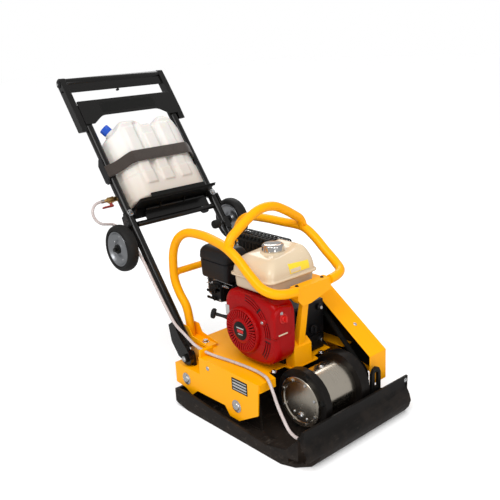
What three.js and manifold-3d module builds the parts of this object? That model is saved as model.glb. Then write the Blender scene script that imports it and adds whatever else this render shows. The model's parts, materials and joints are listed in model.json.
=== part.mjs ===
// Petrol plate compactor: vibrating base, sprung console with engine, and a folding handle with a water
// canister. Millimetres, +X is the direction of travel, +Y the belt side, +Z up. The origin is the middle of
// the flat sole.
import * as THREE from 'three';
import * as BufferGeometryUtils from 'three/addons/utils/BufferGeometryUtils.js';
import Module from 'manifold-3d';

const wasm = await Module();
wasm.setup();

// ---------------------------------------------------------------- driving dimensions
const gap = 0.3; // between pieces that touch
const facets = 20; // sides of a round piece

const base = { half: 225, rear: -242, front: 232, sole: 10, wall: 8, railY: 158, railTop: 118 };
const deck = { top: 188, thick: 4, front: 69, rear: -300, half: 205, recessHalf: 154, recessFront: -190,
  ledgeTop: 132, ledgeRear: -317 };
const sprayInlet = { x: 222.5, y: -204, z: 88, r: 5 };
const exciter = { x: 130, z: 125, tube: 72, flange: 92, nearEnd: -105, farEnd: 75, flangeThick: 25, shaft: 20,
  bearingOuter: 44.7 };
const crank = { x: -58, z: 294, shaft: 12 };
const belt = { y: 120, width: 13, driver: 45, driven: 37, thick: 8 };
const guard = { inner: 108, outer: 180, sheet: 3, front: 195, foot: 112, shoulder: 203, topX: -42, top: 371,
  rear: -150 };
const cage = { tube: 13.5, sides: 12 };
const pivot = { x: -269.6, z: 157, lean: 35.9, pin: 8, lugFar: 196 };
const handle = { tube: 14.5, y: 170, start: 26, top: 900, gripLow: 953, gripHigh: 1009, cheek: 206 };
const wheel = { x: -24.7, z: 399.6, r: 75, inner: 205, outer: 250, hub: 53, axle: 6 };
const canister = { half: 148, frontHalf: 110, rear: -45, front: 71, low: 512, high: 800, capTilt: 30 };
const valve = { x: -24, z: 566, r: 8.5, outlet: -228 };
const hose = { r: 4.5, sides: 8, stepLength: 30, straight: 6, splitRadius: 157 };

// ---------------------------------------------------------------- solids
// A three.js geometry as a solid that can be cut and joined.
function solid(geometry) {
  const bare = geometry.index ? geometry.toNonIndexed() : geometry.clone();
  bare.deleteAttribute('normal');
  bare.deleteAttribute('uv');
  const merged = BufferGeometryUtils.mergeVertices(bare, 1e-4);
  return new wasm.Manifold(new wasm.Mesh({
    numProp: 3,
    vertProperties: merged.attributes.position.array,
    triVerts: new Uint32Array(merged.index.array),
  }));
}

// A solid as a three.js geometry.
function geometryOf(shape) {
  const mesh = shape.getMesh();
  const geometry = new THREE.BufferGeometry();
  const positions = new Float32Array(mesh.numVert * 3);
  for (let v = 0; v < mesh.numVert; v++) {
    for (let k = 0; k < 3; k++) positions[3 * v + k] = mesh.vertProperties[v * mesh.numProp + k];
  }
  geometry.setAttribute('position', new THREE.BufferAttribute(positions, 3));
  geometry.setIndex(Array.from(mesh.triVerts));
  const flat = geometry.toNonIndexed();
  flat.computeVertexNormals();
  return flat;
}

function join(...shapes) {
  return shapes.reduce((whole, next) => whole.add(next));
}

function box(x0, x1, y0, y1, z0, z1) {
  const geometry = new THREE.BoxGeometry(x1 - x0, y1 - y0, z1 - z0);
  return solid(geometry.translate((x0 + x1) / 2, (y0 + y1) / 2, (z0 + z1) / 2));
}

// A round bar along Y, X or Z between two values of that axis.
function barY(r, x, z, y0, y1, sides = facets) {
  return solid(new THREE.CylinderGeometry(r, r, y1 - y0, sides).translate(x, (y0 + y1) / 2, z));
}
function barZ(r, x, y, z0, z1, sides = facets) {
  const geometry = new THREE.CylinderGeometry(r, r, z1 - z0, sides).rotateX(Math.PI / 2);
  return solid(geometry.translate(x, y, (z0 + z1) / 2));
}
function barX(r, y, z, x0, x1, sides = facets) {
  const geometry = new THREE.CylinderGeometry(r, r, x1 - x0, sides).rotateZ(Math.PI / 2);
  return solid(geometry.translate((x0 + x1) / 2, y, z));
}

// A plate whose outline is given in X and Z, standing between two values of Y.
function plateXZ(outline, y0, y1) {
  const shape = new THREE.Shape(outline.map(([x, z]) => new THREE.Vector2(x, z)));
  const geometry = new THREE.ExtrudeGeometry(shape, { depth: y1 - y0, bevelEnabled: false });
  return solid(geometry.rotateX(Math.PI / 2).translate(0, y1, 0));
}

// A plate whose outline is given in X and Y, lying between two values of Z.
function plateXY(outline, z0, z1) {
  const shape = new THREE.Shape(outline.map(([x, y]) => new THREE.Vector2(x, y)));
  return solid(new THREE.ExtrudeGeometry(shape, { depth: z1 - z0, bevelEnabled: false }).translate(0, 0, z0));
}

// A plate whose outline is given in Y and Z, standing between two values of X.
function plateYZ(outline, x0, x1) {
  const shape = new THREE.Shape(outline.map(([y, z]) => new THREE.Vector2(y, z)));
  const geometry = new THREE.ExtrudeGeometry(shape, { depth: x1 - x0, bevelEnabled: false });
  return solid(geometry.rotateX(Math.PI / 2).rotateZ(Math.PI / 2).translate(x0, 0, 0));
}

// A turned piece about an axis along Y: the profile is a list of [radius, y].
function turnedY(profile, x, z, sides = facets) {
  const points = profile.map(([r, y]) => new THREE.Vector2(r, y));
  return solid(new THREE.LatheGeometry(points, sides).translate(x, 0, z));
}

// A round tube or bar that follows a smooth curve through the given points.
function bent(points, r, sides, steps) {
  const path = new THREE.CatmullRomCurve3(points.map((p) => new THREE.Vector3(...p)), false, 'centripetal');
  const shape = new THREE.Shape().absarc(0, 0, r, 0, 2 * Math.PI);
  return solid(new THREE.ExtrudeGeometry(shape, { curveSegments: sides / 2, steps, extrudePath: path }));
}

const mirrorY = (points) => points.map(([x, y, z]) => [x, -y, z]);

// ---------------------------------------------------------------- finishes
const finishes = {
  yellow: { color: 0xf7b00c, roughness: 0.35, metalness: 0 },
  black: { color: 0x141414, roughness: 0.4, metalness: 0 },
  plastic: { color: 0x1b1b1c, roughness: 0.55, metalness: 0 },
  rubber: { color: 0x161616, roughness: 0.85, metalness: 0 },
  steel: { color: 0xb8b4aa, roughness: 0.3, metalness: 1 },
  zinc: { color: 0xc9ccd0, roughness: 0.35, metalness: 1 },
  aluminium: { color: 0x8e9092, roughness: 0.5, metalness: 1 },
  red: { color: 0xa30d18, roughness: 0.35, metalness: 0 },
  cream: { color: 0xf1e5cf, roughness: 0.3, metalness: 0 },
  white: { color: 0xece6dc, roughness: 0.45, metalness: 0 },
  blue: { color: 0x1f4fc0, roughness: 0.4, metalness: 0 },
  brass: { color: 0xc79a4a, roughness: 0.35, metalness: 1 },
  webbing: { color: 0x3a3230, roughness: 0.9, metalness: 0 },
  clear: { color: 0xe2cfca, roughness: 0.25, metalness: 0 },
};

const compactor = new THREE.Group();
const handleGroup = new THREE.Group(); // local Z runs up the handle, local X is square to it
handleGroup.position.set(pivot.x, 0, pivot.z);
handleGroup.rotation.y = -THREE.MathUtils.degToRad(pivot.lean);
compactor.add(handleGroup);

function place(name, shape, finish, parent = compactor) {
  const mesh = new THREE.Mesh(geometryOf(shape), new THREE.MeshStandardMaterial(finishes[finish]));
  mesh.name = name;
  parent.add(mesh);
}

// ---------------------------------------------------------------- vibrating base
function basePlate() {
  const frontLip = plateXZ([
    [200, 0], [base.front, 0], [246, 18], [253, 41], [248, 60], [239, 76], [237, 91], [240, 118],
    [233, 118], [229, 91], [231, 72], [240, 56], [244, 41], [238, 25], [228, base.sole], [200, base.sole],
  ], -base.half, base.half);
  const rearLip = plateXZ([
    [-200, 0], [base.rear, 0], [-290, 9], [-319, 21], [-315, 47], [-290, 58],
    [-292, 50], [-308, 42], [-310, 28], [-288, 19], [-240, base.sole], [-200, base.sole],
  ], -base.half, base.half);
  const sole = box(base.rear, base.front, -base.half, base.half, 0, base.sole);
  const kerb = [
    [base.rear, 0], [base.front, 0], [246, 18], [253, 41], [239, 76], [240, 118],
    [228, 96], [183, 51], [106, 34], [-17, 43], [-175, 56], [-243, 62], [-290, 58], [-315, 47], [-319, 21],
  ];
  const nearKerb = plateXZ(kerb, -base.half, -base.half + base.wall);
  const farKerb = plateXZ(kerb, base.half - base.wall, base.half);
  const rail = [[-290, 20], [-288, 122], [10, base.railTop], [20, base.sole - 2], [-230, base.sole - 2]];
  const rails = [-1, 1].map((side) => {
    const outer = side * base.railY;
    return plateXZ(rail, Math.min(outer, outer - side * base.wall), Math.max(outer, outer - side * base.wall));
  });
  const plan = plateXY([
    [-330, -205], [-300, -225], [165, -225], [205, -210], [232, -178], [260, -150],
    [260, 225], [-300, 225], [-330, 205],
  ], -1, 90);
  const planTop = plateXY([
    [-330, -205], [-300, -225], [190, -225], [228, -216], [260, -200],
    [260, 225], [-300, 225], [-330, 205],
  ], 30, 130);
  const lower = join(sole, frontLip, rearLip, nearKerb, farKerb).intersect(join(plan, planTop));
  place('base_plate', join(lower, ...rails), 'black');
}

function sprayBar() {
  const { x, y, z, r } = sprayInlet;
  place('spray_bar', join(barY(r, x, z, y - 5, 212, 12), barX(4.5, y, z, x - 10, x, 12)), 'black');
}

function liftLoop() {
  const ear = plateYZ([
    [90, 60], [131, 60], [131, 158], [124, 172], [112, 177], [99, 172], [92, 158],
  ], 206, 216);
  const slot = plateYZ([[104, 116], [119, 116], [119, 158], [112, 164], [104, 158]], 200, 226);
  const foot = box(140, 216, 90, 131, base.sole + gap, 60);
  place('lift_loop', join(ear, foot).subtract(slot), 'black');
}

function exciterHousing() {
  const { x, z, tube, flange, nearEnd, farEnd, flangeThick, bearingOuter, shaft } = exciter;
  const innerNear = nearEnd + flangeThick;
  const innerFar = farEnd - flangeThick - 10;
  place('exciter_tube', barY(tube, x, z, innerNear, innerFar, 32).subtract(
    barY(tube - 8, x, z, innerNear - 1, innerFar + 1, 32)), 'steel');
  const flangeShape = (y0, y1) => join(
    barY(flange, x, z, y0, y1, 28),
    box(x - 88, x + 70, y0, y1, base.sole + gap, 78),
  ).subtract(barY(bearingOuter + gap, x, z, y0 - 1, y1 + 1));
  place('exciter_flange_near', flangeShape(nearEnd, innerNear - gap), 'black');
  place('exciter_flange_far', flangeShape(innerFar + gap, farEnd), 'black');
  place('exciter_cover', barY(tube, x, z, nearEnd - 9, nearEnd - gap, 32), 'steel');
  const ring = (y0) => barY(bearingOuter, x, z, y0, y0 + 18).subtract(barY(shaft + gap, x, z, y0 - 1, y0 + 19));
  place('bearing_near', ring(nearEnd + 4), 'steel');
  place('bearing_far', ring(innerFar + 6), 'steel');
  const weight = barY(56, x, z, -58, 18).subtract(box(x - 60, x + 60, -60, 20, z, z + 60));
  place('eccentric_shaft', join(barY(shaft, x, z, nearEnd + 2, 134), weight), 'steel');
}

// A pulley with a groove for the belt, bored for its shaft.
function pulley(x, z, beltRadius, bore, hubProfile) {
  const half = belt.width / 2 + 1;
  const rim = beltRadius + belt.thick / 2 - 1;
  const root = beltRadius - belt.thick / 2 - 1;
  const profile = [
    [bore, belt.y - half - 6], [rim, belt.y - half - 6], [rim, belt.y - half], [root, belt.y - half],
    [root, belt.y + half], [rim, belt.y + half], ...hubProfile,
  ];
  return turnedY([...profile, [bore, profile[profile.length - 1][1]], profile[0]], x, z, 28);
}

function beltDrive() {
  const rimFar = belt.y + belt.width / 2 + 7;
  place('exciter_pulley', pulley(exciter.x, exciter.z, belt.driven, exciter.shaft + gap,
    [[belt.driven + 3, rimFar]]), 'black');
  place('clutch_pulley', pulley(crank.x, crank.z, belt.driver, crank.shaft + gap,
    [[belt.driver + 3, rimFar], [52, rimFar + 2], [52, 152]]), 'aluminium');
  const dx = exciter.x - crank.x;
  const dz = exciter.z - crank.z;
  const length = Math.hypot(dx, dz);
  const slope = Math.atan2(dz, dx);
  // The loop is the hull of two circles: two arcs joined by their common tangents.
  const loop = (offset) => {
    const r1 = belt.driver + offset;
    const r2 = belt.driven + offset;
    const turn = Math.acos((r1 - r2) / length);
    const points = [];
    for (let k = 0; k <= 14; k++) {
      const a = slope + turn + (k / 14) * (2 * Math.PI - 2 * turn);
      points.push([crank.x + r1 * Math.cos(a), crank.z + r1 * Math.sin(a)]);
    }
    for (let k = 0; k <= 14; k++) {
      const a = slope - turn + (k / 14) * 2 * turn;
      points.push([exciter.x + r2 * Math.cos(a), exciter.z + r2 * Math.sin(a)]);
    }
    return points;
  };
  const y0 = belt.y - belt.width / 2;
  const y1 = belt.y + belt.width / 2;
  place('drive_belt', plateXZ(loop(belt.thick / 2), y0, y1).subtract(
    plateXZ(loop(-belt.thick / 2), y0 - 1, y1 + 1)), 'rubber');
}

// ---------------------------------------------------------------- console
function consoleShell() {
  const { top, thick, front, rear, half, recessHalf, recessFront, ledgeTop, ledgeRear } = deck;
  const deckPlate = plateXY([
    [rear, -recessHalf], [recessFront, -recessHalf], [recessFront, -half], [front, -half],
    [front, -142], [30, -132], [34, -74], [front, -70], [front, 28], [44, 34], [44, 106], [-24, 106], [-24, 136],
    [front, 136], [front, half], [recessFront, half],
    [recessFront, recessHalf], [rear, recessHalf],
  ], top - thick, top);
  const sidePanel = [
    [front, top], [66, 165], [60, 92], [-21, 45], [-62, 46], [-82, 72], [-212, 70], [-239, 47],
    [-272, 62], [-317, 66], [ledgeRear, ledgeTop], [recessFront, ledgeTop], [recessFront, top],
  ];
  const sides = [-1, 1].flatMap((s) => {
    const edge = (a, b) => [Math.min(s * a, s * b), Math.max(s * a, s * b)];
    return [
      plateXZ(sidePanel, ...edge(half - thick, half)),
      box(ledgeRear, recessFront, ...edge(recessHalf - thick, half), ledgeTop - thick, ledgeTop),
      box(recessFront - thick, recessFront, ...edge(recessHalf - thick, half), ledgeTop - thick, top),
      box(rear, recessFront, ...edge(recessHalf - thick, recessHalf), ledgeTop - thick, top),
    ];
  });
  const back = box(rear, rear + thick, -recessHalf, recessHalf, 96, top);
  const floorLip = box(front - thick, front, -half + thick, -142, top - 26, top);
  place('console', join(deckPlate, ...sides, back, floorLip), 'yellow');
}

function shockMounts() {
  let count = 0;
  for (const [x, z] of [[-261, 95], [-28, 90]]) {
    for (const s of [-1, 1]) {
      count += 1;
      const a = s * (base.railY + gap);
      const b = s * (deck.half - deck.thick - gap);
      place(`shock_mount_${count}`, barY(23, x, z, Math.min(a, b), Math.max(a, b)), 'rubber');
    }
  }
}

function beltGuard() {
  const { inner, outer, sheet, front, foot, shoulder, topX, top, rear } = guard;
  const low = deck.top + gap;
  const outline = [
    [front, foot], [front, shoulder], [topX, top], [-125, top], [rear, 345], [rear, low],
    [deck.front + 4, low], [deck.front + 4, foot],
  ];
  const hollow = [
    [front - sheet, foot - 9], [front - sheet, shoulder - 2], [topX - 1, top - sheet], [-124, top - sheet],
    [rear + sheet, 344], [rear + sheet, low - 9], [deck.front + 4 - 0.01, low - 9], [deck.front + 4, foot - 9],
  ];
  place('belt_guard', plateXZ(outline, inner, outer).subtract(
    plateXZ(hollow, inner - 1, outer - sheet)), 'yellow');
}

// ---------------------------------------------------------------- protective cage
const sideRun = [
  [-325, -130, 196.5], [-328, -130, 245], [-340, -130, 290], [-369, -130, 325], [-389, -130, 363], [-392, -130, 413],
  [-384, -129, 464], [-358, -127, 505], [-318, -124, 528], [-243, -125, 535], [-170, -134, 533],
  [-95, -149, 526], [-50, -150, 503], [-6, -150, 469], [36, -147, 441], [66, -132, 429], [80, -104, 424],
  [84, -66.5, 421],
];

function protectiveCage() {
  const r = cage.tube;
  const near = bent(sideRun, r, cage.sides, 34);
  const far = bent(mirrorY(sideRun), r, cage.sides, 34);
  const clear = join(bent(sideRun, r + gap, cage.sides, 34), bent(mirrorY(sideRun), r + gap, cage.sides, 34));
  const foot = (s) => join(
    box(-350, -214, Math.min(s * 150, s * 104), Math.max(s * 150, s * 104), deck.top + gap, deck.top + 8),
    box(-352, -296, Math.min(s * 148, s * 110), Math.max(s * 148, s * 110), deck.top + 4, deck.top + 20),
  );
  place('cage_side_near', join(near, foot(-1)), 'yellow');
  place('cage_side_far', join(far, foot(1)), 'yellow');
  place('cage_rear_bar', barY(11, -391, 389, -122, 122, cage.sides).subtract(clear), 'yellow');
  const arch = [
    [-95, -150, 536], [-95, -140, 550], [-95, -112, 571], [-95, -74, 594], [-95, -35, 612], [-95, 0, 617],
    [-95, 35, 612], [-95, 74, 594], [-95, 112, 571], [-95, 140, 550], [-95, 150, 536],
  ];
  place('cage_arch', bent(arch, r, cage.sides, 24).subtract(clear), 'yellow');
  const bracket = plateYZ([[-66, 396], [-48, 376], [-15, 376], [66, 396], [66, 430], [-66, 430]], 60, 90);
  const hollow = plateYZ([[-63, 398], [-46, 370], [-17, 370], [63, 398], [63, 426], [-63, 426]], 55, 86);
  const post = plateXZ([[76, 400], [100 - 12, 400], [59, 220], [59, 200], [35, 200], [35, 220]], -44, -20);
  const footing = deck.top + gap;
  const postFoot = plateXZ([[34, footing], [68, footing], [68, 246], [50, 262], [34, 232]], -66, 3);
  place('cage_front_post', join(bracket.subtract(hollow), post, postFoot).subtract(clear), 'yellow');
}

// ---------------------------------------------------------------- engine
function engine() {
  const bore = barY(20, crank.x, crank.z, -200, 200);
  const floor = deck.top + gap;
  const feet = box(-140, 28, -70, 98, floor, floor + 14);
  const block = join(feet, box(-132, 28, -64, 98, floor + 10, 342));
  place('engine_block', block.subtract(bore), 'aluminium');
  const head = join(...[0, 1, 2, 3, 4].map((k) => box(-214 + 16 * k, -206 + 16 * k, -48, 78, 226, 366)),
    box(-212, -132 - gap, -40, 70, 234, 358));
  place('cylinder_head', head, 'aluminium');
  const cover = plateXZ([
    [-122, 398], [-138, 376], [-141, 300], [-133, 256], [-108, 222], [-72, 203], [12, 203], [52, 216], [76, 250],
    [78, 372], [62, 396], [30, 402], [-100, 402],
  ], -153, -70 - gap);
  place('fan_cover', cover.subtract(barY(76, crank.x, crank.z, -140, -60, 28)), 'red');
  place('flywheel', barY(72, crank.x, crank.z, -134, -74, 28).subtract(
    barY(crank.shaft + gap, crank.x, crank.z, -135, -73)), 'aluminium');
  place('crankshaft', barY(crank.shaft, crank.x, crank.z, -130, 155), 'steel');
  const tank = join(
    box(-112, 40, -119, 51, 407, 447),
    box(-124, 51, -130, 62, 445, 451),
    plateYZ(
      [[-127, 450], [-124, 478], [-108, 502], [-70, 509], [10, 509], [42, 502], [57, 478], [59, 450]],
      -120, 47,
    ),
  );
  place('fuel_tank', tank, 'cream');
  const cleanerBox = box(-300, -168, -100, -10, 392, 480);
  place('air_cleaner', join(cleanerBox, box(-292, -176, -92, -18, 479, 490)), 'plastic');
  place('carburettor', join(box(-258, -214 - gap, -80, -22, 312, 392 - gap),
    box(-262, -216, -88, -79, 318, 384)), 'plastic');
  const muffler = join(box(-322, -136, 66, 140, 404, 486), box(-210, -180, 82, 110, 366 + gap, 406));
  place('muffler', muffler, 'plastic');
}

function engineControls() {
  place('fuel_cap', barZ(32, -35, -35, 509 + gap, 529, 28), 'steel');
  place('engine_switch', barX(9, -112, 356, 78 + gap, 92, 12), 'red');
  place('oil_cap', barX(13, 48, 262, 28 + gap, 46, 12), 'plastic');
  const lever = (x, z, reach) => join(barY(6, x, z, -96, -88 - gap, 12), box(x - reach, x, -96, -92, z - 4, z + 4));
  place('throttle_lever', lever(-224, 372, 26), 'black');
  place('choke_lever', lever(-240, 350, 34), 'black');
  place('fuel_lever', lever(-240, 328, 34), 'black');
  // The grip pulls out rearwards and away from the near side: its neck lies along the pull.
  const pull = new THREE.Vector3(-0.8, -0.55, 0.24).normalize();
  const turn = new THREE.Quaternion().setFromUnitVectors(new THREE.Vector3(0, 1, 0), pull);
  const neck = new THREE.CylinderGeometry(5, 5, 40, 12).translate(0, 20, 0);
  const bar = new THREE.CylinderGeometry(8, 8, 46, 12).rotateX(Math.PI / 2).translate(0, 44, 0);
  const grip = join(solid(neck), solid(bar));
  const mesh = new THREE.Mesh(geometryOf(grip), new THREE.MeshStandardMaterial(finishes.plastic));
  mesh.name = 'starter_grip';
  mesh.quaternion.copy(turn);
  mesh.position.set(-150, -120, 300);
  compactor.add(mesh);
}

// ---------------------------------------------------------------- handle, in its own tilted frame
function handlePiece(name, shape, finish) {
  place(name, shape, finish, handleGroup);
}

function handleTubes() {
  for (const [name, s] of [['near', -1], ['far', 1]]) {
    const span = (a, b) => [Math.min(s * a, s * b), Math.max(s * a, s * b)];
    const tube = barZ(handle.tube, 0, s * handle.y, handle.start, handle.top, 16);
    const lug = plateXZ([
      [-23, 4], [-19, -13], [-10, -21], [0, -23], [10, -21], [19, -13], [23, 4], [22, 20], [14, 60], [14, 118],
      [-14, 118], [-36, 70], [-34, 20],
    ], ...span(handle.y + handle.tube - 2, pivot.lugFar));
    const hole = barY(pivot.pin + 0.5, 0, 0, ...span(150, 220), 24);
    const bracket = plateXZ([
      [-14, 440], [14, 452], [14, 494], [-14, 494], [-42, 404], [-38, 388], [-24, 382], [-10, 390],
    ], ...span(handle.y + handle.tube - 3, 190));
    const axle = barY(wheel.axle, wheel.x, wheel.z, ...span(188, wheel.outer + 8), 16);
    handlePiece(`handle_tube_${name}`, join(tube, lug.subtract(hole), bracket, axle), 'black');
    const pin = barY(pivot.pin, pivot.x, pivot.z, ...span(172, 203), 24);
    const head = barY(13, pivot.x, pivot.z, ...span(pivot.lugFar + gap, 204), 24);
    const ear = plateXZ([[-290, deck.ledgeTop + gap], [-249, deck.ledgeTop + gap], [-252, 170], [-260, 177],
      [-279, 177], [-287, 170]], ...span(172, handle.y + handle.tube - 2 - gap));
    place(`pivot_pin_${name}`, join(pin, head, ear), 'zinc');
  }
}

function gripFrame() {
  const { gripLow, gripHigh, cheek, tube } = handle;
  const cheeks = [-1, 1].map((s) => plateXZ([
    [-14, 812], [14, 800], [16, 850], [16, gripLow + 2], [-14, gripLow + 2],
  ], Math.min(s * (handle.y + tube + gap), s * cheek), Math.max(s * (handle.y + tube + gap), s * cheek)));
  const bar = box(-14, 14, -cheek, cheek, gripLow, gripHigh);
  handlePiece('grip_frame', join(bar, ...cheeks), 'black');
  const panel = plateYZ([
    [-184, 824], [-150, 824], [-111, 851], [111, 851], [150, 824], [184, 824], [184, 911], [-184, 911],
  ], tube + gap, tube + 4);
  handlePiece('handle_panel', panel, 'black');
}

function canisterShelf() {
  const shelf = join(
    box(-44, 74, -152, 152, 506, 510),
    box(71, 74, -108, 108, 506, 522),
    box(-14, -10, -152, 152, 478, 508),
  );
  handlePiece('tank_shelf', shelf, 'black');
  const crossBar = join(barY(9, 0, 455, -154, 154, 12), box(-3, 3, -112, 142, 455, 504));
  handlePiece('lower_cross_bar', crossBar, 'black');
  handlePiece('rubber_bumper', join(box(15, 22, 158, 176, 360, 400), barY(4, 19.2, 380, 118, 165, 12),
    barY(15, 18, 382, 106, 132, 16)), 'rubber');
}

function waterCanister() {
  const { half, frontHalf, rear, front, low, high } = canister;
  // The plan has wide slanted front corners. The strap keeps clear of a plan that is grown a little.
  const plan = (grow) => [
    [rear - grow, -138], [rear - grow, 138], [rear + 10, half + grow], [28 + grow, half + grow],
    [front + grow, frontHalf + grow], [front + grow, -frontHalf - grow], [28 + grow, -half - grow],
    [rear + 10, -half - grow],
  ];
  const body = plateXY(plan(0), low, high);
  const shoulders = plateYZ([
    [-half, low], [half, low], [half, 764], [86, high], [-86, high], [-half, 764],
  ], rear - 5, front + 5);
  handlePiece('water_tank', body.intersect(shoulders), 'white');
  const cap = new THREE.Mesh(new THREE.CylinderGeometry(17, 17, 24, 20).rotateX(Math.PI / 2).translate(0, 0, 12),
    new THREE.MeshStandardMaterial(finishes.blue));
  cap.name = 'tank_cap';
  cap.rotation.x = THREE.MathUtils.degToRad(canister.capTilt);
  cap.position.set(13, -117.5, 783);
  handleGroup.add(cap);
  const outer = plateXY([[front + 3.5, -112], [27, -152], [18, -190], [12, -190], [18, -152 + 2],
    [front + 0.6, -110], [front + 0.6, 110], [18, 150], [12, 190], [18, 190], [27, 152], [front + 3.5, 112]], 630, 678);
  handlePiece('tank_strap', outer.subtract(plateXY(plan(0.6), low, high)).subtract(join(
    ...[-1, 1].map((s) => barZ(handle.tube + 1, 0, s * handle.y, 600, 660, 16)))), 'webbing');
}

function waterValve() {
  const { x, z, r, outlet } = valve;
  handlePiece('water_valve', join(barY(r, x, z, outlet, -canister.half - gap, 16),
    box(x - 11, x + 8, -206, -190, z - 11, z + 11)), 'brass');
  handlePiece('valve_lever', join(barZ(5, x, -198, z - 20, z - 11 - gap, 12),
    box(x - 4, x + 4, -232, -192, z - 24, z - 19)), 'red');
}

function wheels() {
  for (const [name, s] of [['near', -1], ['far', 1]]) {
    const y = (v) => s * (wheel.inner + v);
    const profile = [
      [wheel.axle + 0.6, y(4)], [16, y(4)], [16, y(14)], [wheel.hub, y(12)], [wheel.hub + 6, y(2)], [68, y(0)],
      [wheel.r, y(9)], [wheel.r, y(36)], [68, y(45)], [wheel.hub + 6, y(43)], [wheel.hub, y(33)], [16, y(31)],
      [16, y(41)], [wheel.axle + 0.6, y(41)],
    ];
    const ordered = s > 0 ? profile : profile.reverse();
    handlePiece(`wheel_${name}`, turnedY([...ordered, ordered[0]], wheel.x, wheel.z, 28), 'rubber');
  }
}

// ---------------------------------------------------------------- water hose
// From the valve it loops down behind the near wheel, past the axle and down the tube to the pivot, then over
// the deck's edge and down to the spray bar. One list rides with the handle, the other with the machine.
const hoseOnHandle = [
  [valve.x, valve.outlet - 2 * gap, valve.z], [-24, -233, 566], [-25, -251.5, 561.1], [-27.7, -265, 547.8],
  [-31.4, -270, 529.7], [-35.1, -265, 511.6], [-37.8, -251.5, 498.3], [-38.8, -233, 493.4], [-38.6, -214.5, 488.4],
  [-38.2, -201, 474.9], [-37, -196.2, 456.4], [-33, -196.5, 440], [-24, -197.2, 424], [-9, -197.8, 402],
  [2, -198, 378], [8, -198.4, 352], [13, -199, 325], [16, -200, 279], [22, -202, 208], [28, -203.5, 157],
];
const hoseOnMachine = [
  [-300, -205, 264], [-256, -203, 241], [-222, -194, 215], [-189, -183, 200], [-153, -175, 195],
  [-95, -166, 194.4], [-38, -160, 194.4], [16, -160, 195], [46, -166, 197], [67, -172, 197.5], [85, -178, 189],
  [103, -184, 171], [126, -190, 141], [152, -195, 113], [178, -201, 94], [202, -204, 88],
  [sprayInlet.x - 10 - gap, sprayInlet.y, sprayInlet.z],
];

function waterHose() {
  const axis = new THREE.Vector3(0, 1, 0);
  const tilt = -THREE.MathUtils.degToRad(pivot.lean);
  const upper = hoseOnHandle.map((p) => new THREE.Vector3(...p).applyAxisAngle(axis, tilt).add(
    new THREE.Vector3(pivot.x, 0, pivot.z)));
  const lower = hoseOnMachine.map((p) => new THREE.Vector3(...p));
  const route = new THREE.CatmullRomCurve3([...upper, ...lower], false, 'centripetal');
  const length = route.getLength();
  const radiusAt = (d) => {
    const p = route.getPointAt(d / length);
    return Math.hypot(p.x - pivot.x, p.z - pivot.z);
  };
  let split = 0;
  while (radiusAt(split) > hose.splitRadius) split += 1;
  const run = (from, to) => {
    const steps = Math.round((to - from) / hose.stepLength);
    const inner = Array.from({ length: steps - 1 }, (_, k) => from + ((k + 1) * (to - from)) / steps);
    const stations = [from, from + hose.straight, ...inner, to - hose.straight, to];
    const points = stations.map((d) => route.getPointAt(d / length).toArray());
    return bent(points, hose.r, hose.sides, points.length);
  };
  // Both ends at the split are cut to an arc about the pivot, so that one turns past the other.
  const arc = (r) => barY(r, pivot.x, pivot.z, -240, -160, 180);
  const [x, y, z] = route.getPointAt(split / length).toArray();
  const beyond = box(x - 40, x + 40, y - 15, y + 15, z - 20, z + 40).subtract(arc(hose.splitRadius - gap / 2));
  place('hose_upper', run(0, split + 9).subtract(arc(hose.splitRadius + gap / 2)), 'clear');
  place('hose_lower', run(split - 9, length).subtract(beyond), 'clear');
}

basePlate();
sprayBar();
liftLoop();
exciterHousing();
beltDrive();
consoleShell();
shockMounts();
beltGuard();
protectiveCage();
engine();
engineControls();
handleTubes();
gripFrame();
canisterShelf();
waterCanister();
waterValve();
wheels();
waterHose();

export default compactor;
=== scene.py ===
import json
import math

import bmesh
import bpy
import numpy as np
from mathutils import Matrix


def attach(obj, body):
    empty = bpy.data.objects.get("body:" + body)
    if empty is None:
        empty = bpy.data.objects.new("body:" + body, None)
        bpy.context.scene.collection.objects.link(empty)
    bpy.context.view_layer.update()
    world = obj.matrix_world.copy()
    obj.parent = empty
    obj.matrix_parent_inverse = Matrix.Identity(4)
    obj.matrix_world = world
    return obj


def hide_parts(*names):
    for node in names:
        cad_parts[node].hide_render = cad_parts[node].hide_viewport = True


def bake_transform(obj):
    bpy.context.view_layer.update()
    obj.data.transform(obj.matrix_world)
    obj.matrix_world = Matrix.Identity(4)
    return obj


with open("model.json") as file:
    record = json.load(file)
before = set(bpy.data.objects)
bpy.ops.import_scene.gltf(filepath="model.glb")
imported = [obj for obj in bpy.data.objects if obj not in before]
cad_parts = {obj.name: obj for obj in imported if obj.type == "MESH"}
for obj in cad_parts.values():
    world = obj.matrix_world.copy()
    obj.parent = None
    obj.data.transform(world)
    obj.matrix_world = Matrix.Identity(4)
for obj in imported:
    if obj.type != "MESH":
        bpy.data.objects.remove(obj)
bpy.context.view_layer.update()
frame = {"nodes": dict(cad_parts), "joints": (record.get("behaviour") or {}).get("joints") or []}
nodes = frame["nodes"]
mm = 0.001  # shapes are worked out in millimetres, and a mesh is in metres
print("frame loaded:", len(nodes), "nodes")


# places: a point in a place's own millimetres becomes a point of the machine


def unit(v):
    v = np.asarray(v, float)
    return v / np.linalg.norm(v, axis=-1, keepdims=True)


class Place:
    def __init__(self, origin, along, up):
        self.origin = np.array(origin, float)
        z = unit(up)
        x = unit(np.array(along, float) - np.dot(along, z) * z)
        self.axes = np.array([x, np.cross(z, x), z])

    def toRow(self, points):
        return self.origin + np.asarray(points, float) @ self.axes

    def fromRow(self, points):
        return (np.asarray(points, float) - self.origin) @ self.axes.T


def joint(name):
    return next(j for j in frame["joints"] if j["name"] == name)


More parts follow.
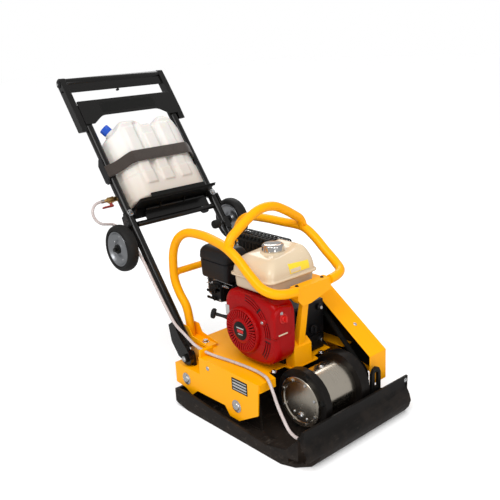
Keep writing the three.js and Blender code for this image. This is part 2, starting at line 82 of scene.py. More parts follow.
machine = Place((0, 0, 0), (1, 0, 0), (0, 0, 1))
lean = joint("valve_turn")["axis"]  # the valve stem stands along the handle
handle = Place(np.array(joint("handle_fold")["pos_m"]) / mm, (lean[2], 0, -lean[0]), lean)
capTurn = joint("tank_cap_turn")
tankCapPlace = Place(np.array(capTurn["pos_m"]) / mm, (lean[2], 0, -lean[0]), capTurn["axis"])
starterPlace = Place((-150, -120, 300), (0, 0, 1), joint("starter_pull")["axis"])
homes = {"handle": handle, "wheel_near": handle, "wheel_far": handle, "valve_lever": handle,
         "tank_cap": tankCapPlace, "starter_grip": starterPlace}
bothSides = (("near", -1), ("far", 1))
tubeAt = 170.0  # from the handle's middle to each of its tubes


def span(node, place=machine):
    # the lowest and highest corners of a CAD node, in a place's millimetres
    points = np.empty(len(nodes[node].data.vertices) * 3, np.float32)
    nodes[node].data.vertices.foreach_get("co", points)
    points = place.fromRow(points.reshape(-1, 3) / mm)
    return points.min(0), points.max(0)


# shapes: each is (points, faces), worked out as whole arrays


def gridFaces(rows, columns, wrapRows=False, wrapColumns=True, first=0):
    a, b = np.meshgrid(np.arange(rows if wrapRows else rows - 1),
                       np.arange(columns if wrapColumns else columns - 1), indexing="ij")
    a, b = a.ravel(), b.ravel()
    c, d = (a + 1) % rows, (b + 1) % columns
    quads = np.stack([a * columns + b, a * columns + d, c * columns + d, c * columns + b], 1)
    return (quads + first).tolist()


def grid(points, wrapRows=False, ends=False):
    # a surface over rings of points; ends closes the first and last ring with one face each
    rows, columns = points.shape[:2]
    faces = gridFaces(rows, columns, wrapRows)
    if ends:
        last = (rows - 1) * columns
        faces += [list(range(columns))[::-1], list(range(last, last + columns))]
    return points.reshape(-1, 3), faces


def rounded(outline, radius, steps=5, closed=True):
    # every corner becomes a curve that leaves and meets its edges a radius away: (1-t)^2, 2t(1-t), t^2
    p = np.array(outline, float)
    cut = np.broadcast_to(np.asarray(radius, float), len(p))[:, None]

    def towards(q):
        away = np.linalg.norm(q - p, axis=1, keepdims=True)
        return p + (q - p) * np.minimum(cut / np.maximum(away, 1e-9), 0.48)
    t = np.linspace(0, 1, steps)[None, :, None]
    start, end = towards(np.roll(p, 1, 0))[:, None], towards(np.roll(p, -1, 0))[:, None]
    curve = (1 - t) ** 2 * start + 2 * t * (1 - t) * p[:, None] + t ** 2 * end
    if not closed:
        curve[0], curve[-1] = p[0], p[-1]
        return np.concatenate([p[:1], curve[1:-1].reshape(-1, p.shape[1]), p[-1:]])
    return curve.reshape(-1, p.shape[1])


def roundRect(a0, a1, b0, b1, radius, steps=5):
    return rounded([(a0, b0), (a1, b0), (a1, b1), (a0, b1)], radius, steps)


def axisOf(axis):
    if isinstance(axis, str):
        axis = {"x": (1, 0, 0), "y": (0, 1, 0), "z": (0, 0, 1)}[axis]
    w = unit(axis)
    u = unit(np.cross(w, (0, 0, 1) if abs(w[2]) < 0.9 else (1, 0, 0)))
    return u, np.cross(w, u), w


def lathe(profile, centre, axis="y", sides=48):
    # centre + radius (cos a, sin a) + height along the axis, for every profile point and angle
    u, v, w = axisOf(axis)
    r, h = np.array(profile, float).T
    a = np.linspace(0, 2 * np.pi, sides, endpoint=False)
    ring = np.cos(a)[:, None] * u + np.sin(a)[:, None] * v
    closed = r[0] == r[-1] and h[0] == h[-1] and r[0] > 0
    if closed:
        r, h = r[:-1], h[:-1]
    points = np.asarray(centre, float) + r[:, None, None] * ring[None] + h[:, None, None] * w
    return grid(points, wrapRows=closed, ends=not closed and r[0] > 0)


def collar(inner, outer, low, high, centre, axis="y", sides=48):
    return lathe([(inner, low), (outer, low), (outer, high), (inner, high), (inner, low)], centre, axis, sides)


def drum(centre, axis, radius, low, high, edge=0.6, sides=40):
    # a round bar with eased edges, between two heights along its axis
    ease = [(radius - edge, 0), (radius - 0.3 * edge, 0.3 * edge), (radius, edge)]
    profile = [(r, low + h) for r, h in ease] + [(r, high - h) for r, h in ease[::-1]]
    return lathe([(0, low), *profile, (0, high)], centre, axis, sides)


def slab(outline, low, high, axis="y"):
    # an outline in the other two axes, carried from low to high along this one
    outline = np.array(outline, float)
    level = np.broadcast_to(np.array([[low], [high]]), (2, len(outline)))
    a, b = (np.broadcast_to(outline[:, k], level.shape) for k in (0, 1))
    order = {"x": (level, a, b), "y": (a, level, b), "z": (a, b, level)}[axis]
    return grid(np.stack(order, -1), ends=True)


def block(low, high, radius=0.0, axis="z"):
    k = "xyz".index(axis)
    i, j = [n for n in range(3) if n != k]
    outline = roundRect(low[i], high[i], low[j], high[j], radius) if radius else [
        (low[i], low[j]), (high[i], low[j]), (high[i], high[j]), (low[i], high[j])]
    return slab(outline, low[k], high[k], axis)


def curveThrough(points, step=4.0):
    # a centripetal Catmull-Rom curve: between two points, a cubic whose end slopes weigh the
    # neighbouring chords by the square roots of their lengths
    p = np.array(points, float)
    p = np.concatenate([[2 * p[0] - p[1]], p, [2 * p[-1] - p[-2]]])
    p0, p1, p2, p3 = p[:-3], p[1:-2], p[2:-1], p[3:]
    d0, d1, d2 = (np.sqrt(np.linalg.norm(b - a, axis=1))[:, None] for a, b in ((p0, p1), (p1, p2), (p2, p3)))
    m1 = ((p1 - p0) / d0 - (p2 - p0) / (d0 + d1) + (p2 - p1) / d1) * d1
    m2 = ((p2 - p1) / d1 - (p3 - p1) / (d1 + d2) + (p3 - p2) / d2) * d1
    count = np.maximum(2, np.ceil(np.linalg.norm(p2 - p1, axis=1) / step)).astype(int)
    run = np.repeat(np.arange(len(count)), count)
    t = ((np.arange(len(run)) - np.repeat(np.cumsum(count) - count, count)) / count[run])[:, None]
    c2, c3 = -3 * p1 + 3 * p2 - 2 * m1 - m2, 2 * p1 - 2 * p2 + m1 + m2
    inner = p1[run] + m1[run] * t + c2[run] * t ** 2 + c3[run] * t ** 3
    return np.concatenate([inner, p2[-1:]])


def carried(section, path, up=(0, 0, 1), scale=None, closed=False):
    # a section's two coordinates are laid across the path: sideways, and towards up
    path = np.array(path, float)
    along = np.roll(path, -1, 0) - np.roll(path, 1, 0) if closed else np.gradient(path, axis=0)
    along = unit(along)
    side = unit(np.cross(along, np.asarray(up, float)))
    rise = np.cross(side, along)
    section = np.array(section, float)
    scale = np.ones(len(path)) if scale is None else np.asarray(scale, float)
    points = (path[:, None] + scale[:, None, None] * (section[None, :, :1] * side[:, None]
                                                      + section[None, :, 1:] * rise[:, None]))
    return grid(points, wrapRows=closed, ends=not closed)


def circle(radius, sides=20):
    a = np.linspace(0, 2 * np.pi, sides, endpoint=False)
    return np.stack([radius * np.cos(a), radius * np.sin(a)], 1)


def tube(path, radius, up=(0, 1, 0), sides=20, step=6.0):
    # a round bar along a smooth curve
    return carried(circle(radius, sides), curveThrough(path, step), up)


def hexBolt(centre, axis, size, washer=True):
    # six-sided head of the given half width, on a washer
    parts = [lathe([(0, 0.15 * size), (size, 0.15 * size), (size, 0.7 * size), (0.86 * size, 0.84 * size),
                    (0, 0.84 * size)], centre, axis, 6)]
    if washer:
        parts.append(drum(centre, axis, 1.45 * size, -0.05, 0.22 * size, 0.08 * size, 24))
    return parts


def domeBolt(centre, axis, size):
    # round head that rises as a cosine, with a six-sided socket ring
    a = np.linspace(0, 0.5 * np.pi, 8)
    profile = [(0, -0.05), (size, -0.05)]
    profile += [(size * math.cos(t), 0.12 * size + 0.5 * size * math.sin(t)) for t in a[:-2]]
    profile += [(0.34 * size, 0.58 * size), (0.3 * size, 0.34 * size), (0, 0.34 * size)]
    return [lathe(profile, centre, axis, 28)]


def around(centre, radius, count, first=0.0):
    # places on a circle that stands across y
    turns = 2 * np.pi * (np.arange(count) + first) / count
    return [(centre[0] + radius * math.cos(a), centre[1], centre[2] + radius * math.sin(a)) for a in turns]


def each(kind, places, *rest):
    return [shape for place in places for shape in kind(place, *rest)]


# pieces


def linked(name, data):
    made = bpy.data.objects.new(name, data)
    bpy.context.scene.collection.objects.link(made)
    return made


def stand(made, right, up, back, place):
    # an object's own three axes and where it is
    rows = np.eye(4)
    rows[:3] = np.column_stack([right, up, back, place])
    made.matrix_world = rows.T.tolist()


def makeMesh(name, shapes, place):
    points = np.concatenate([s[0] for s in shapes])
    first = np.cumsum([0] + [len(s[0]) for s in shapes[:-1]])
    faces = [[k + f for k in face] for (_, shape), f in zip(shapes, first) for face in shape]
    mesh = bpy.data.meshes.new(name)
    mesh.from_pydata((place.toRow(points) * mm).tolist(), [], faces)
    return mesh


def joined(mesh, merge):
    work = bmesh.new()
    work.from_mesh(mesh)
    bmesh.ops.remove_doubles(work, verts=work.verts, dist=merge)
    bmesh.ops.dissolve_degenerate(work, edges=work.edges, dist=merge)
    return work


def piece(name, shapes, body, finish, stands=(), bevel=0.0, crease=34, place=None):
    mesh = makeMesh(name, shapes, place or homes.get(body, machine))
    work = joined(mesh, 2e-6)
    bmesh.ops.recalc_face_normals(work, faces=work.faces)
    work.to_mesh(mesh)
    work.free()
    return settle(name, mesh, body, finish, stands, bevel, 2, crease)


def refined(node, body, finish, bevel=1.0, steps=2):
    # the node's own shape with its triangles joined into whole faces and its edges eased
    mesh = nodes[node].data.copy()
    mesh.materials.clear()
    work = joined(mesh, 2e-5)
    bmesh.ops.dissolve_limit(work, angle_limit=0.01, verts=work.verts, edges=work.edges)
    work.to_mesh(mesh)
    work.free()
    for layer in list(mesh.uv_layers):
        mesh.uv_layers.remove(layer)
    return settle(node + "_shell", mesh, body, finish, (node,), bevel, steps, 34)


def settle(name, mesh, body, finish, stands, bevel, steps, crease):
    mesh.shade_smooth()
    mesh.set_sharp_from_angle(angle=math.radians(crease))
    mesh.materials.append(finish)
    made = linked(name, mesh)
    if bevel:
        ease = made.modifiers.new("eased edges", "BEVEL")
        ease.width, ease.segments = bevel * mm, steps
        ease.limit_method, ease.angle_limit = "ANGLE", math.radians(crease)
        ease.harden_normals = True
        ease.use_clamp_overlap = True
    if body:
        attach(made, body)
    if stands:
        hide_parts(*stands)
    return made


# finishes: sums on sockets are written as Python expressions


class Wire:
    def __init__(self, finish, socket):
        self.finish, self.socket = finish, socket

    def sum(self, operation, first, second):
        return self.finish.node("ShaderNodeMath", {"operation": operation}, {0: first, 1: second})

    def __add__(self, other):
        return self.sum("ADD", self, other)

    def __sub__(self, other):
        return self.sum("SUBTRACT", self, other)

    def __rsub__(self, other):
        return self.sum("SUBTRACT", other, self)

    def __mul__(self, other):
        return self.sum("MULTIPLY", self, other)

    def sin(self):
        return self.finish.node("ShaderNodeMath", {"operation": "SINE"}, {0: self})

    def clamp(self):
        return self.finish.node("ShaderNodeMath", {"operation": "ADD", "use_clamp": True}, {0: self, 1: 0.0})

    __radd__, __rmul__ = __add__, __mul__


class Finish:
    def __init__(self, name, **fixed):
        self.material = bpy.data.materials.new(name)
        self.material.use_nodes = True
        self.tree = self.material.node_tree
        self.shader = self.tree.nodes["Principled BSDF"]
        self.spot = self.node("ShaderNodeTexCoord", {}, {}, "Object")
        for socket, value in fixed.items():
            self.put(socket, value)

    def node(self, kind, settings, inputs, output=0):
        made = self.tree.nodes.new(kind)
        for key, value in settings.items():
            if key == "stops":
                while len(made.color_ramp.elements) < len(value):
                    made.color_ramp.elements.new(1.0)
                for element, (at, colour) in zip(made.color_ramp.elements, value):
                    element.position, element.color = at, (*colour, 1.0)
            else:
                setattr(made, key, value)
        for key, value in inputs.items():
            self.join(made.inputs[key], value)
        return Wire(self, made.outputs[output])

    def join(self, socket, value):
        if isinstance(value, Wire):
            self.tree.links.new(value.socket, socket)
        else:
            socket.default_value = value

    def put(self, socket, value):
        socket = self.shader.inputs[socket.replace("_", " ").title().replace("Ior", "IOR")]
        if not isinstance(value, Wire) and socket.type == "RGBA":
            value = (*value, 1.0)
        self.join(socket, value)
        return self

    def noise(self, scale, detail=3.0, stretch=(1, 1, 1), rough=0.55):
        at = self.node("ShaderNodeMapping", {}, {"Vector": self.spot, "Scale": stretch})
        return self.node("ShaderNodeTexNoise", {}, {"Vector": at, "Scale": scale, "Detail": detail,
                                                    "Roughness": rough})

    def ramp(self, value, low, high):
        # 0 below low, 1 above high, straight between
        return self.node("ShaderNodeMapRange", {"clamp": True},
                         {"Value": value, "From Min": low, "From Max": high})

    def mix(self, factor, first, second):
        first, second = (c if isinstance(c, Wire) else (*c, 1.0) for c in (first, second))
        made = self.tree.nodes.new("ShaderNodeMix")
        made.data_type = "RGBA"
        for key, value in ((0, factor), (6, first), (7, second)):
            self.join(made.inputs[key], value)
        return Wire(self, made.outputs[2])

    def height(self, *axes):
        return [self.node("ShaderNodeSeparateXYZ", {}, {"Vector": self.spot}, k) for k in axes]

    def bump(self, height, depth):
        return self.put("normal", self.node("ShaderNodeBump", {}, {
            "Height": height, "Distance": depth, "Strength": 1.0}))


def shades(colour, darker, lighter):
    return tuple(c * (1 - darker) for c in colour), tuple(min(1.0, c * (1 + lighter)) for c in colour)


def enamel(name, colour, roughness, shift, coat, dusty, shine=0.5):
    # sprayed paint: slow shade changes, orange peel, a few scuffs and some dust lying in the film
    f = Finish(name, coat_weight=coat, coat_roughness=0.12, specular_ior_level=shine)
    slow, fine = f.noise(9.0), f.noise(620.0, 2.0)
    scuff = f.ramp(f.noise(38.0, 6.0, (1, 1, 3), 0.75), 0.60, 0.74)
    film = f.mix(slow, *shades(colour, shift, 0.5 * shift))
    f.put("base_color", f.mix(scuff * dusty, film, (0.30, 0.27, 0.23)))
    f.put("roughness", roughness + 0.10 * (slow - 0.5) + 0.22 * scuff)
    f.bump(fine + 0.6 * f.noise(140.0, 2.0), 0.00008)
    return f.material


def metal(name, colour, roughness, stretch, grain, depth=0.00003, shift=0.10, stained=0.0):
    # bare metal with drawn or turned streaks along the axis whose stretch is least
    f = Finish(name, metallic=1.0)
    streak, slow = f.noise(grain, 3.0, stretch), f.noise(14.0, 4.0)
    tone = f.mix(streak, *shades(colour, shift, shift))
    spot = f.ramp(f.noise(30.0, 6.0, (1, 1, 1), 0.7), 0.58, 0.72)
    f.put("base_color", f.mix(spot * stained, tone, (0.22, 0.17, 0.12)))
    f.put("roughness", roughness + 0.16 * (streak - 0.5) + 0.12 * (slow - 0.5) + 0.2 * stained * spot)
    f.bump(streak, depth)
    return f.material


def moulded(name, colour, roughness, grain=900.0, depth=0.00006, shift=0.1, **fixed):
    # moulded plastic or rubber: a fine even grain and faint flow marks
    f = Finish(name, **fixed)
    slow = f.noise(16.0, 4.0)
    f.put("base_color", f.mix(slow, *shades(colour, shift, shift)))
    f.put("roughness", roughness + 0.14 * (slow - 0.5) + 0.06 * (f.noise(70.0, 5.0) - 0.5))
    f.bump(f.noise(grain, 2.0), depth)
    return f.material


def solePaint():
    # black paint over plate steel, worn and dusty towards the ground
    f = Finish("sole_paint", coat_weight=0.03, coat_roughness=0.3, specular_ior_level=0.16)
    height, = f.height("Z")
    low = 1 - f.ramp(height, 0.0, 0.11)
    cloud = f.noise(22.0, 6.0, (1, 1, 1), 0.65)
    dust = f.ramp(cloud + 0.35 * low, 0.56, 0.86)
    rub = f.ramp(f.noise(60.0, 8.0, (1, 0.4, 2), 0.8) + 0.12 * low, 0.66, 0.72)
    film = f.mix(cloud, (0.004, 0.0035, 0.003), (0.010, 0.008, 0.007))
    dusty = f.mix(dust * 0.22, film, (0.070, 0.050, 0.038))
    f.put("base_color", f.mix(rub * 0.35, dusty, (0.12, 0.10, 0.085)))
    f.put("roughness", 0.34 + 0.34 * dust + 0.08 * rub)
    f.bump(f.noise(160.0, 4.0) + 0.5 * rub, 0.00018)
    return f.material


def webbing():
    # ribs across the strap and threads along it, as sines of the strap's own directions
    f = Finish("webbing", sheen_weight=0.25, roughness=0.85)
    turned = f.node("ShaderNodeMapping", {}, {
        "Vector": f.spot, "Rotation": (0, -math.atan2(-lean[0], lean[2]), 0)})
    across, along = (f.node("ShaderNodeSeparateXYZ", {}, {"Vector": turned}, k) for k in ("Z", "Y"))
    weave = (across * 3900.0).sin() * (along * 1900.0).sin()
    slow = f.noise(30.0, 5.0)
    f.put("base_color", f.mix((0.5 + 0.22 * weave + 0.5 * (slow - 0.5)).clamp(), (0.013, 0.010, 0.008),
                              (0.066, 0.048, 0.039)))
    f.bump(weave, 0.0003)
    return f.material


def blownTank():
    # natural polyethylene: milky, with faint flow clouds, and painted shade that darkens it towards the bottom
    f = Finish("canister_plastic", subsurface_weight=0.22, subsurface_scale=0.02, coat_weight=0.1)
    cloud = f.noise(18.0, 4.0)
    height, = f.height("Z")
    milk = f.mix(cloud, (0.68, 0.65, 0.61), (0.76, 0.74, 0.71))
    # painted shade: the base colour turns a darker beige towards the bottom, by height
    f.put("base_color", f.mix(f.ramp(height, 0.55, 0.78), (0.53, 0.44, 0.36), milk))
    f.put("roughness", 0.36 + 0.14 * (cloud - 0.5))
    f.bump(f.noise(48.0, 3.0) + 0.3 * f.noise(400.0, 2.0), 0.0005)
    return f.material


def clearHose():
    f = Finish("hose_plastic", transmission_weight=0.25, coat_weight=0.4, ior=1.45)
    cloud = f.noise(26.0, 4.0)
    f.put("base_color", f.mix(cloud, (0.56, 0.47, 0.45), (0.68, 0.60, 0.58)))
    f.put("roughness", 0.22 + 0.1 * cloud)
    f.bump(f.noise(300.0, 2.0), 0.00008)
    return f.material


yellow = enamel("yellow_enamel", (0.95, 0.385, 0.0004), 0.30, 0.05, coat=0.08, dusty=0.0, shine=0.15)
black = enamel("black_enamel", (0.0055, 0.005, 0.0045), 0.19, 0.2, coat=0.3, dusty=0.02, shine=0.3)
satin = enamel("satin_black", (0.006, 0.006, 0.0055), 0.38, 0.2, coat=0.08, dusty=0.03, shine=0.22)
red = enamel("red_enamel", (0.31, 0.0005, 0.001), 0.28, 0.12, coat=0.08, dusty=0.0, shine=0.15)
cream = enamel("cream_enamel", (0.64, 0.51, 0.35), 0.22, 0.04, coat=0.5, dusty=0.03)
labelYellow = enamel("label_yellow", (0.85, 0.62, 0.03), 0.4, 0.05, coat=0.1, dusty=0.04)
labelGrey = enamel("label_grey", (0.42, 0.42, 0.41), 0.4, 0.05, coat=0.1, dusty=0.05)
sole = solePaint()
stainless = metal("brushed_stainless", (0.74, 0.67, 0.56), 0.24, (0.05, 1, 0.05), 900.0, 0.000004, 0.06,
                  stained=0.14)
zinc = metal("zinc_plate", (0.84, 0.85, 0.86), 0.24, (1, 1, 1), 90.0, 0.00002)
chrome = metal("chrome_plate", (0.74, 0.72, 0.69), 0.14, (1, 1, 1), 60.0, 0.00001, 0.05)
castMetal = metal("cast_aluminium", (0.16, 0.16, 0.165), 0.50, (1, 1, 1), 330.0, 0.00025, 0.16, stained=0.5)
darkCast = metal("dark_cast", (0.045, 0.045, 0.048), 0.46, (1, 1, 1), 330.0, 0.00025, 0.2, stained=0.3)
wheelSteel = metal("wheel_steel", (0.420, 0.432, 0.450), 0.34, (1, 1, 1), 90.0, 0.00002)
brass = metal("machined_brass", (0.66, 0.42, 0.15), 0.30, (1, 0.1, 1), 500.0)
plastic = moulded("black_plastic", (0.009, 0.009, 0.010), 0.40, specular_ior_level=0.35)
rubber = moulded("black_rubber", (0.008, 0.008, 0.0075), 0.66, 300.0, 0.0002, 0.25, specular_ior_level=0.3)
tyreRubber = moulded("tyre_rubber", (0.009, 0.0085, 0.008), 0.58, 240.0, 0.0003, 0.3, specular_ior_level=0.3)
bluePlastic = moulded("blue_plastic", (0.010, 0.075, 0.46), 0.38)
redPlastic = moulded("red_plastic", (0.50, 0.008, 0.006), 0.34)
leverRed = moulded("lever_red", (0.24, 0.016, 0.010), 0.40)
canisterPlastic = blownTank()
hosePlastic = clearHose()
strapWeave = webbing()
print("finishes made")


# camera: it stands at the machine's front corner, a little above and turned a touch

camera = {"place": (1.375, -1.3455, 1.100), "azimuth": 49.0053, "elevation": 16.9922, "roll": -2.9723,
          "lens": 51.639, "sensor": 36.0}


def setCamera():
    az, el, ro = (math.radians(camera[k]) for k in ("azimuth", "elevation", "roll"))
    back = np.array([math.sin(az) * math.cos(el), -math.cos(az) * math.cos(el), math.sin(el)])
    right = np.array([math.cos(az), math.sin(az), 0])
    up = np.cross(back, right)
    right, up = math.cos(ro) * right + math.sin(ro) * up, math.cos(ro) * up - math.sin(ro) * right
    data = bpy.data.cameras.new("camera")
    data.lens, data.sensor_width, data.clip_end = camera["lens"], camera["sensor"], 50.0
    made = linked("camera", data)
    stand(made, right, up, back, camera["place"])
    bpy.context.scene.camera = made


setCamera()


# water hose: from the valve along the handle, past the pivot and down to the spray bar

hose = {
    "radius": 0.0045, "length": 1.127,
    "onHandle": [(-0.024, -0.2286, 0.566), (-0.024, -0.233, 0.566), (-0.025, -0.2515, 0.5611),
                 (-0.0277, -0.265, 0.5478), (-0.0314, -0.270, 0.5297), (-0.0351, -0.265, 0.5116),
                 (-0.0378, -0.2515, 0.4983), (-0.0388, -0.233, 0.4934), (-0.0386, -0.2145, 0.4884),
                 (-0.0382, -0.201, 0.4749), (-0.037, -0.1962, 0.4564), (-0.033, -0.1965, 0.440),
                 (-0.024, -0.1972, 0.424), (-0.009, -0.1978, 0.402), (0.002, -0.198, 0.378),
                 (0.008, -0.1984, 0.352), (0.013, -0.199, 0.325), (0.016, -0.200, 0.279),
                 (0.022, -0.202, 0.208),
                 (0.028, -0.2035, 0.157)],
    "onMachine": [(-0.300, -0.205, 0.264), (-0.256, -0.203, 0.241), (-0.222, -0.194, 0.215),
                  (-0.189, -0.183, 0.200),
                  (-0.153, -0.175, 0.195), (-0.095, -0.166, 0.1944), (-0.038, -0.160, 0.1944),
                  (0.016, -0.160, 0.195),
                  (0.046, -0.166, 0.197), (0.067, -0.172, 0.1975), (0.085, -0.178, 0.189),
                  (0.103, -0.184, 0.171),
                  (0.126, -0.190, 0.141), (0.152, -0.195, 0.113), (0.178, -0.201, 0.094),
                  (0.202, -0.204, 0.088),
                  (0.2122, -0.204, 0.088)],
    "bendFrom": (0.022, -0.202, 0.208), "bendTo": (-0.222, -0.194, 0.215),
}


def waterHose():
    upper = handle.toRow(np.array(hose["onHandle"]) / mm) * mm
    route = np.concatenate([upper, hose["onMachine"]])
    path = curveThrough(route / mm, 4.0)
    made = piece("water_hose", [carried(circle(hose["radius"] / mm, 16), path, (0.35, 0.1, 0.93))], None,
                 hosePlastic, ("hose_upper", "hose_lower"))
    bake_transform(made)


waterHose()
print("camera and hose made")


# handle: tubes, grip, panel, shelf and their fasteners

grip = {"sheet": (5.0, 9.0), "low": 953.0, "tube": 14.0, "end": 12.0, "nub": 6.0}


def handleFrame():
    for side, s in bothSides:
        refined(f"handle_tube_{side}", "handle", black, 1.2)
        end = span(f"handle_tube_{side}", handle)[1][2]
        cap = drum((0, s * tubeAt, 0), "z", 13.2, end - 0.5, end + 0.5, 0.3)
        piece(f"tube_end_{side}", [cap], "handle", plastic)
    low, high = span("grip_frame", handle)
    barLow, wide, top = grip["low"], high[1], high[2]
    bar = slab(roundRect(*grip["sheet"], barLow, top - grip["tube"], 1.6), low[1] + 7.5, wide - 7.5)
    rail = drum((1, 0, top - grip["tube"]), "y", grip["tube"], low[1] + 2, wide - 2, 1.0, 36)
    cheek = rounded([(-14, 812), (14, 800), (16, 850), (16, barLow + 10), (15, top - 4), (8, top), (-9, top),
                     (-14, top - 5)], 4, 4)
    cheeks = [slab(cheek, *sorted((s * 184.8, s * wide)), "y") for _, s in bothSides]
    piece("grip_bar", [bar, rail, *cheeks], "handle", black, ("grip_frame",), 0.9)
    cap = [(0, -0.1), (grip["end"], -0.1), (grip["end"], 2.0), (9, 3.2), (0, 3.4)]
    ends = [lathe(cap, (-1, s * wide, top - 16), (0, s, 0)) for _, s in bothSides]
    ends += [drum((-1, 0, top - 46), (0, s, 0), 3.0, wide, wide + 5, 0.8, 20) for _, s in bothSides]
    ends.append(drum((0, 0, barLow), (0, 0, -1), grip["nub"], -1, 3.5, 1.0, 20))
    piece("grip_ends", ends, "handle", plastic)
    bolts = [b for _, s in bothSides for b in hexBolt((-1, s * (wide + 3.2), top - 16), (0, s, 0), 4.2, False)]
    piece("grip_end_bolts", bolts, "handle", zinc)


def handlePanel():
    low, high = span("handle_panel", handle)
    y0, y1, top = low[1], high[1], high[2]
    sheet = rounded([(y0, 824), (-150, 824), (-111, 851), (111, 851), (150, 824), (y1, 824), (y1, top),
                     (y0, top)], [4, 4, 14, 14, 4, 4, 5, 5], 6)
    fold = rounded([(low[0] - 9, top - 2.6), (high[0], top - 2.6), (high[0], top), (low[0] - 9, top)], 0.6, 3)
    piece("front_panel", [slab(sheet, low[0], high[0], "x"), slab(fold, y0 + 12, y1 - 12, "y")],
          "handle", black, ("handle_panel",), 0.8)
    plate = slab(roundRect(-106, 108, 862, 899, 3.5, 5), high[0], high[0] + 0.35, "x")
    piece("blank_nameplate", [plate], "handle", satin, bevel=0.12)


shelf = {"floor": 506.0, "backLow": 478.0, "bolt": 7.5, "boltHeights": (494, 500)}


def canisterShelf():
    low, high = span("tank_shelf", handle)
    floor, y0, y1 = shelf["floor"], low[1], high[1]
    tray = [(low[0], floor), (71, floor), (74, floor + 2.6), (74, floor + 3.9), (71, floor + 3.6),
            (low[0], floor + 3.6)]
    parts = [slab(tray, y0, y1, "y"), slab(roundRect(-108, 108, floor + 1, high[2], 4), 71.2, 74, "x"),
             slab(roundRect(y0, y1, shelf["backLow"], floor + 1, 5), -14, -10.6, "x")]
    parts += [slab([(-11, 480), (-11, floor), (22, floor)], y, y + 3, "y") for y in (-146, -50, 47, 143)]
    parts.append(carried(circle(2.6, 14), [(66, y0 + 1, floor - 1.2), (66, y1 - 1, floor - 1.2)]))
    piece("canister_shelf", parts, "handle", satin, ("tank_shelf",), 0.8)
    low, high = span("lower_cross_bar", handle)
    plate = rounded([(-112, 455), (142, 455), (142, 497), (134, 504), (-96, 504), (-112, 488)], 9, 6)
    parts = [drum((0, 0, 455), "y", 9, low[1], high[1], 0.8, 28), slab(plate, -3, 3, "x"),
             carried(circle(5, 16), [(1.5, -104, 498.5), (1.5, 134, 498.5)]),
             slab(rounded([(98, 447), (132, 447), (126, 438), (106, 438)], 3, 4), -4, 4, "x")]
    piece("cross_bar", parts, "handle", black, ("lower_cross_bar",), 0.8)
    bolts, clamps = [], []
    for (_, s), z in zip(bothSides, shelf["boltHeights"]):
        bolts += hexBolt((14.2, s * tubeAt, z), "x", shelf["bolt"]) + hexBolt((14.2, s * tubeAt, 838), "x", 4.5)
        clamps.append(collar(14.8, 17.4, -7, 7, (0, s * tubeAt, z), "z"))
    piece("shelf_bolts", bolts, "handle", zinc)
    piece("shelf_clamps", clamps, "handle", satin, bevel=0.5)


bumper = {"radius": 15.0, "length": 26.0}


def rubberBumper():
    y0 = span("rubber_bumper", handle)[0][1]
    y1, r = y0 + bumper["length"], bumper["radius"]
    pad = lathe([(0, y0), (9, y0), (13.5, y0 + 2.5), (r, y0 + 8), (r, y1 - 9), (13.2, y1 - 7), (13.2, y1 - 4),
                 (r, y1 - 2), (12, y1), (0, y1)], (18, 0, 382), "y", 40)
    piece("bumper_pad", [pad], "handle", rubber, ("rubber_bumper",))
    arm = [drum((19.2, 0, 380), "y", 4, y1 - 2, 165, 0.6, 20), block((15, 158, 360), (22, 176, 400), 3, "x")]
    piece("bumper_arm", arm + hexBolt((19.2, 146, 380), "y", 6.5), "handle", black, bevel=0.6)


# water canister: a blown body with raised panels, a shoulder neck and a recess between two humps

canister = {"base": 14.0, "panelHigh": 5.0, "channelDeep": 10.0, "waist": 3.0}


def smoothStep(x, low, high):
    t = np.clip((x - low) / (high - low), 0, 1)
    return t * t * (3 - 2 * t)


def pad(a, b, a0, a1, b0, b1, soft):
    # 1 inside a rectangle, falling smoothly to 0 over soft around its edge
    return (smoothStep(a, a0 - soft, a0) * (1 - smoothStep(a, a1, a1 + soft))
            * smoothStep(b, b0 - soft, b0) * (1 - smoothStep(b, b1, b1 + soft)))


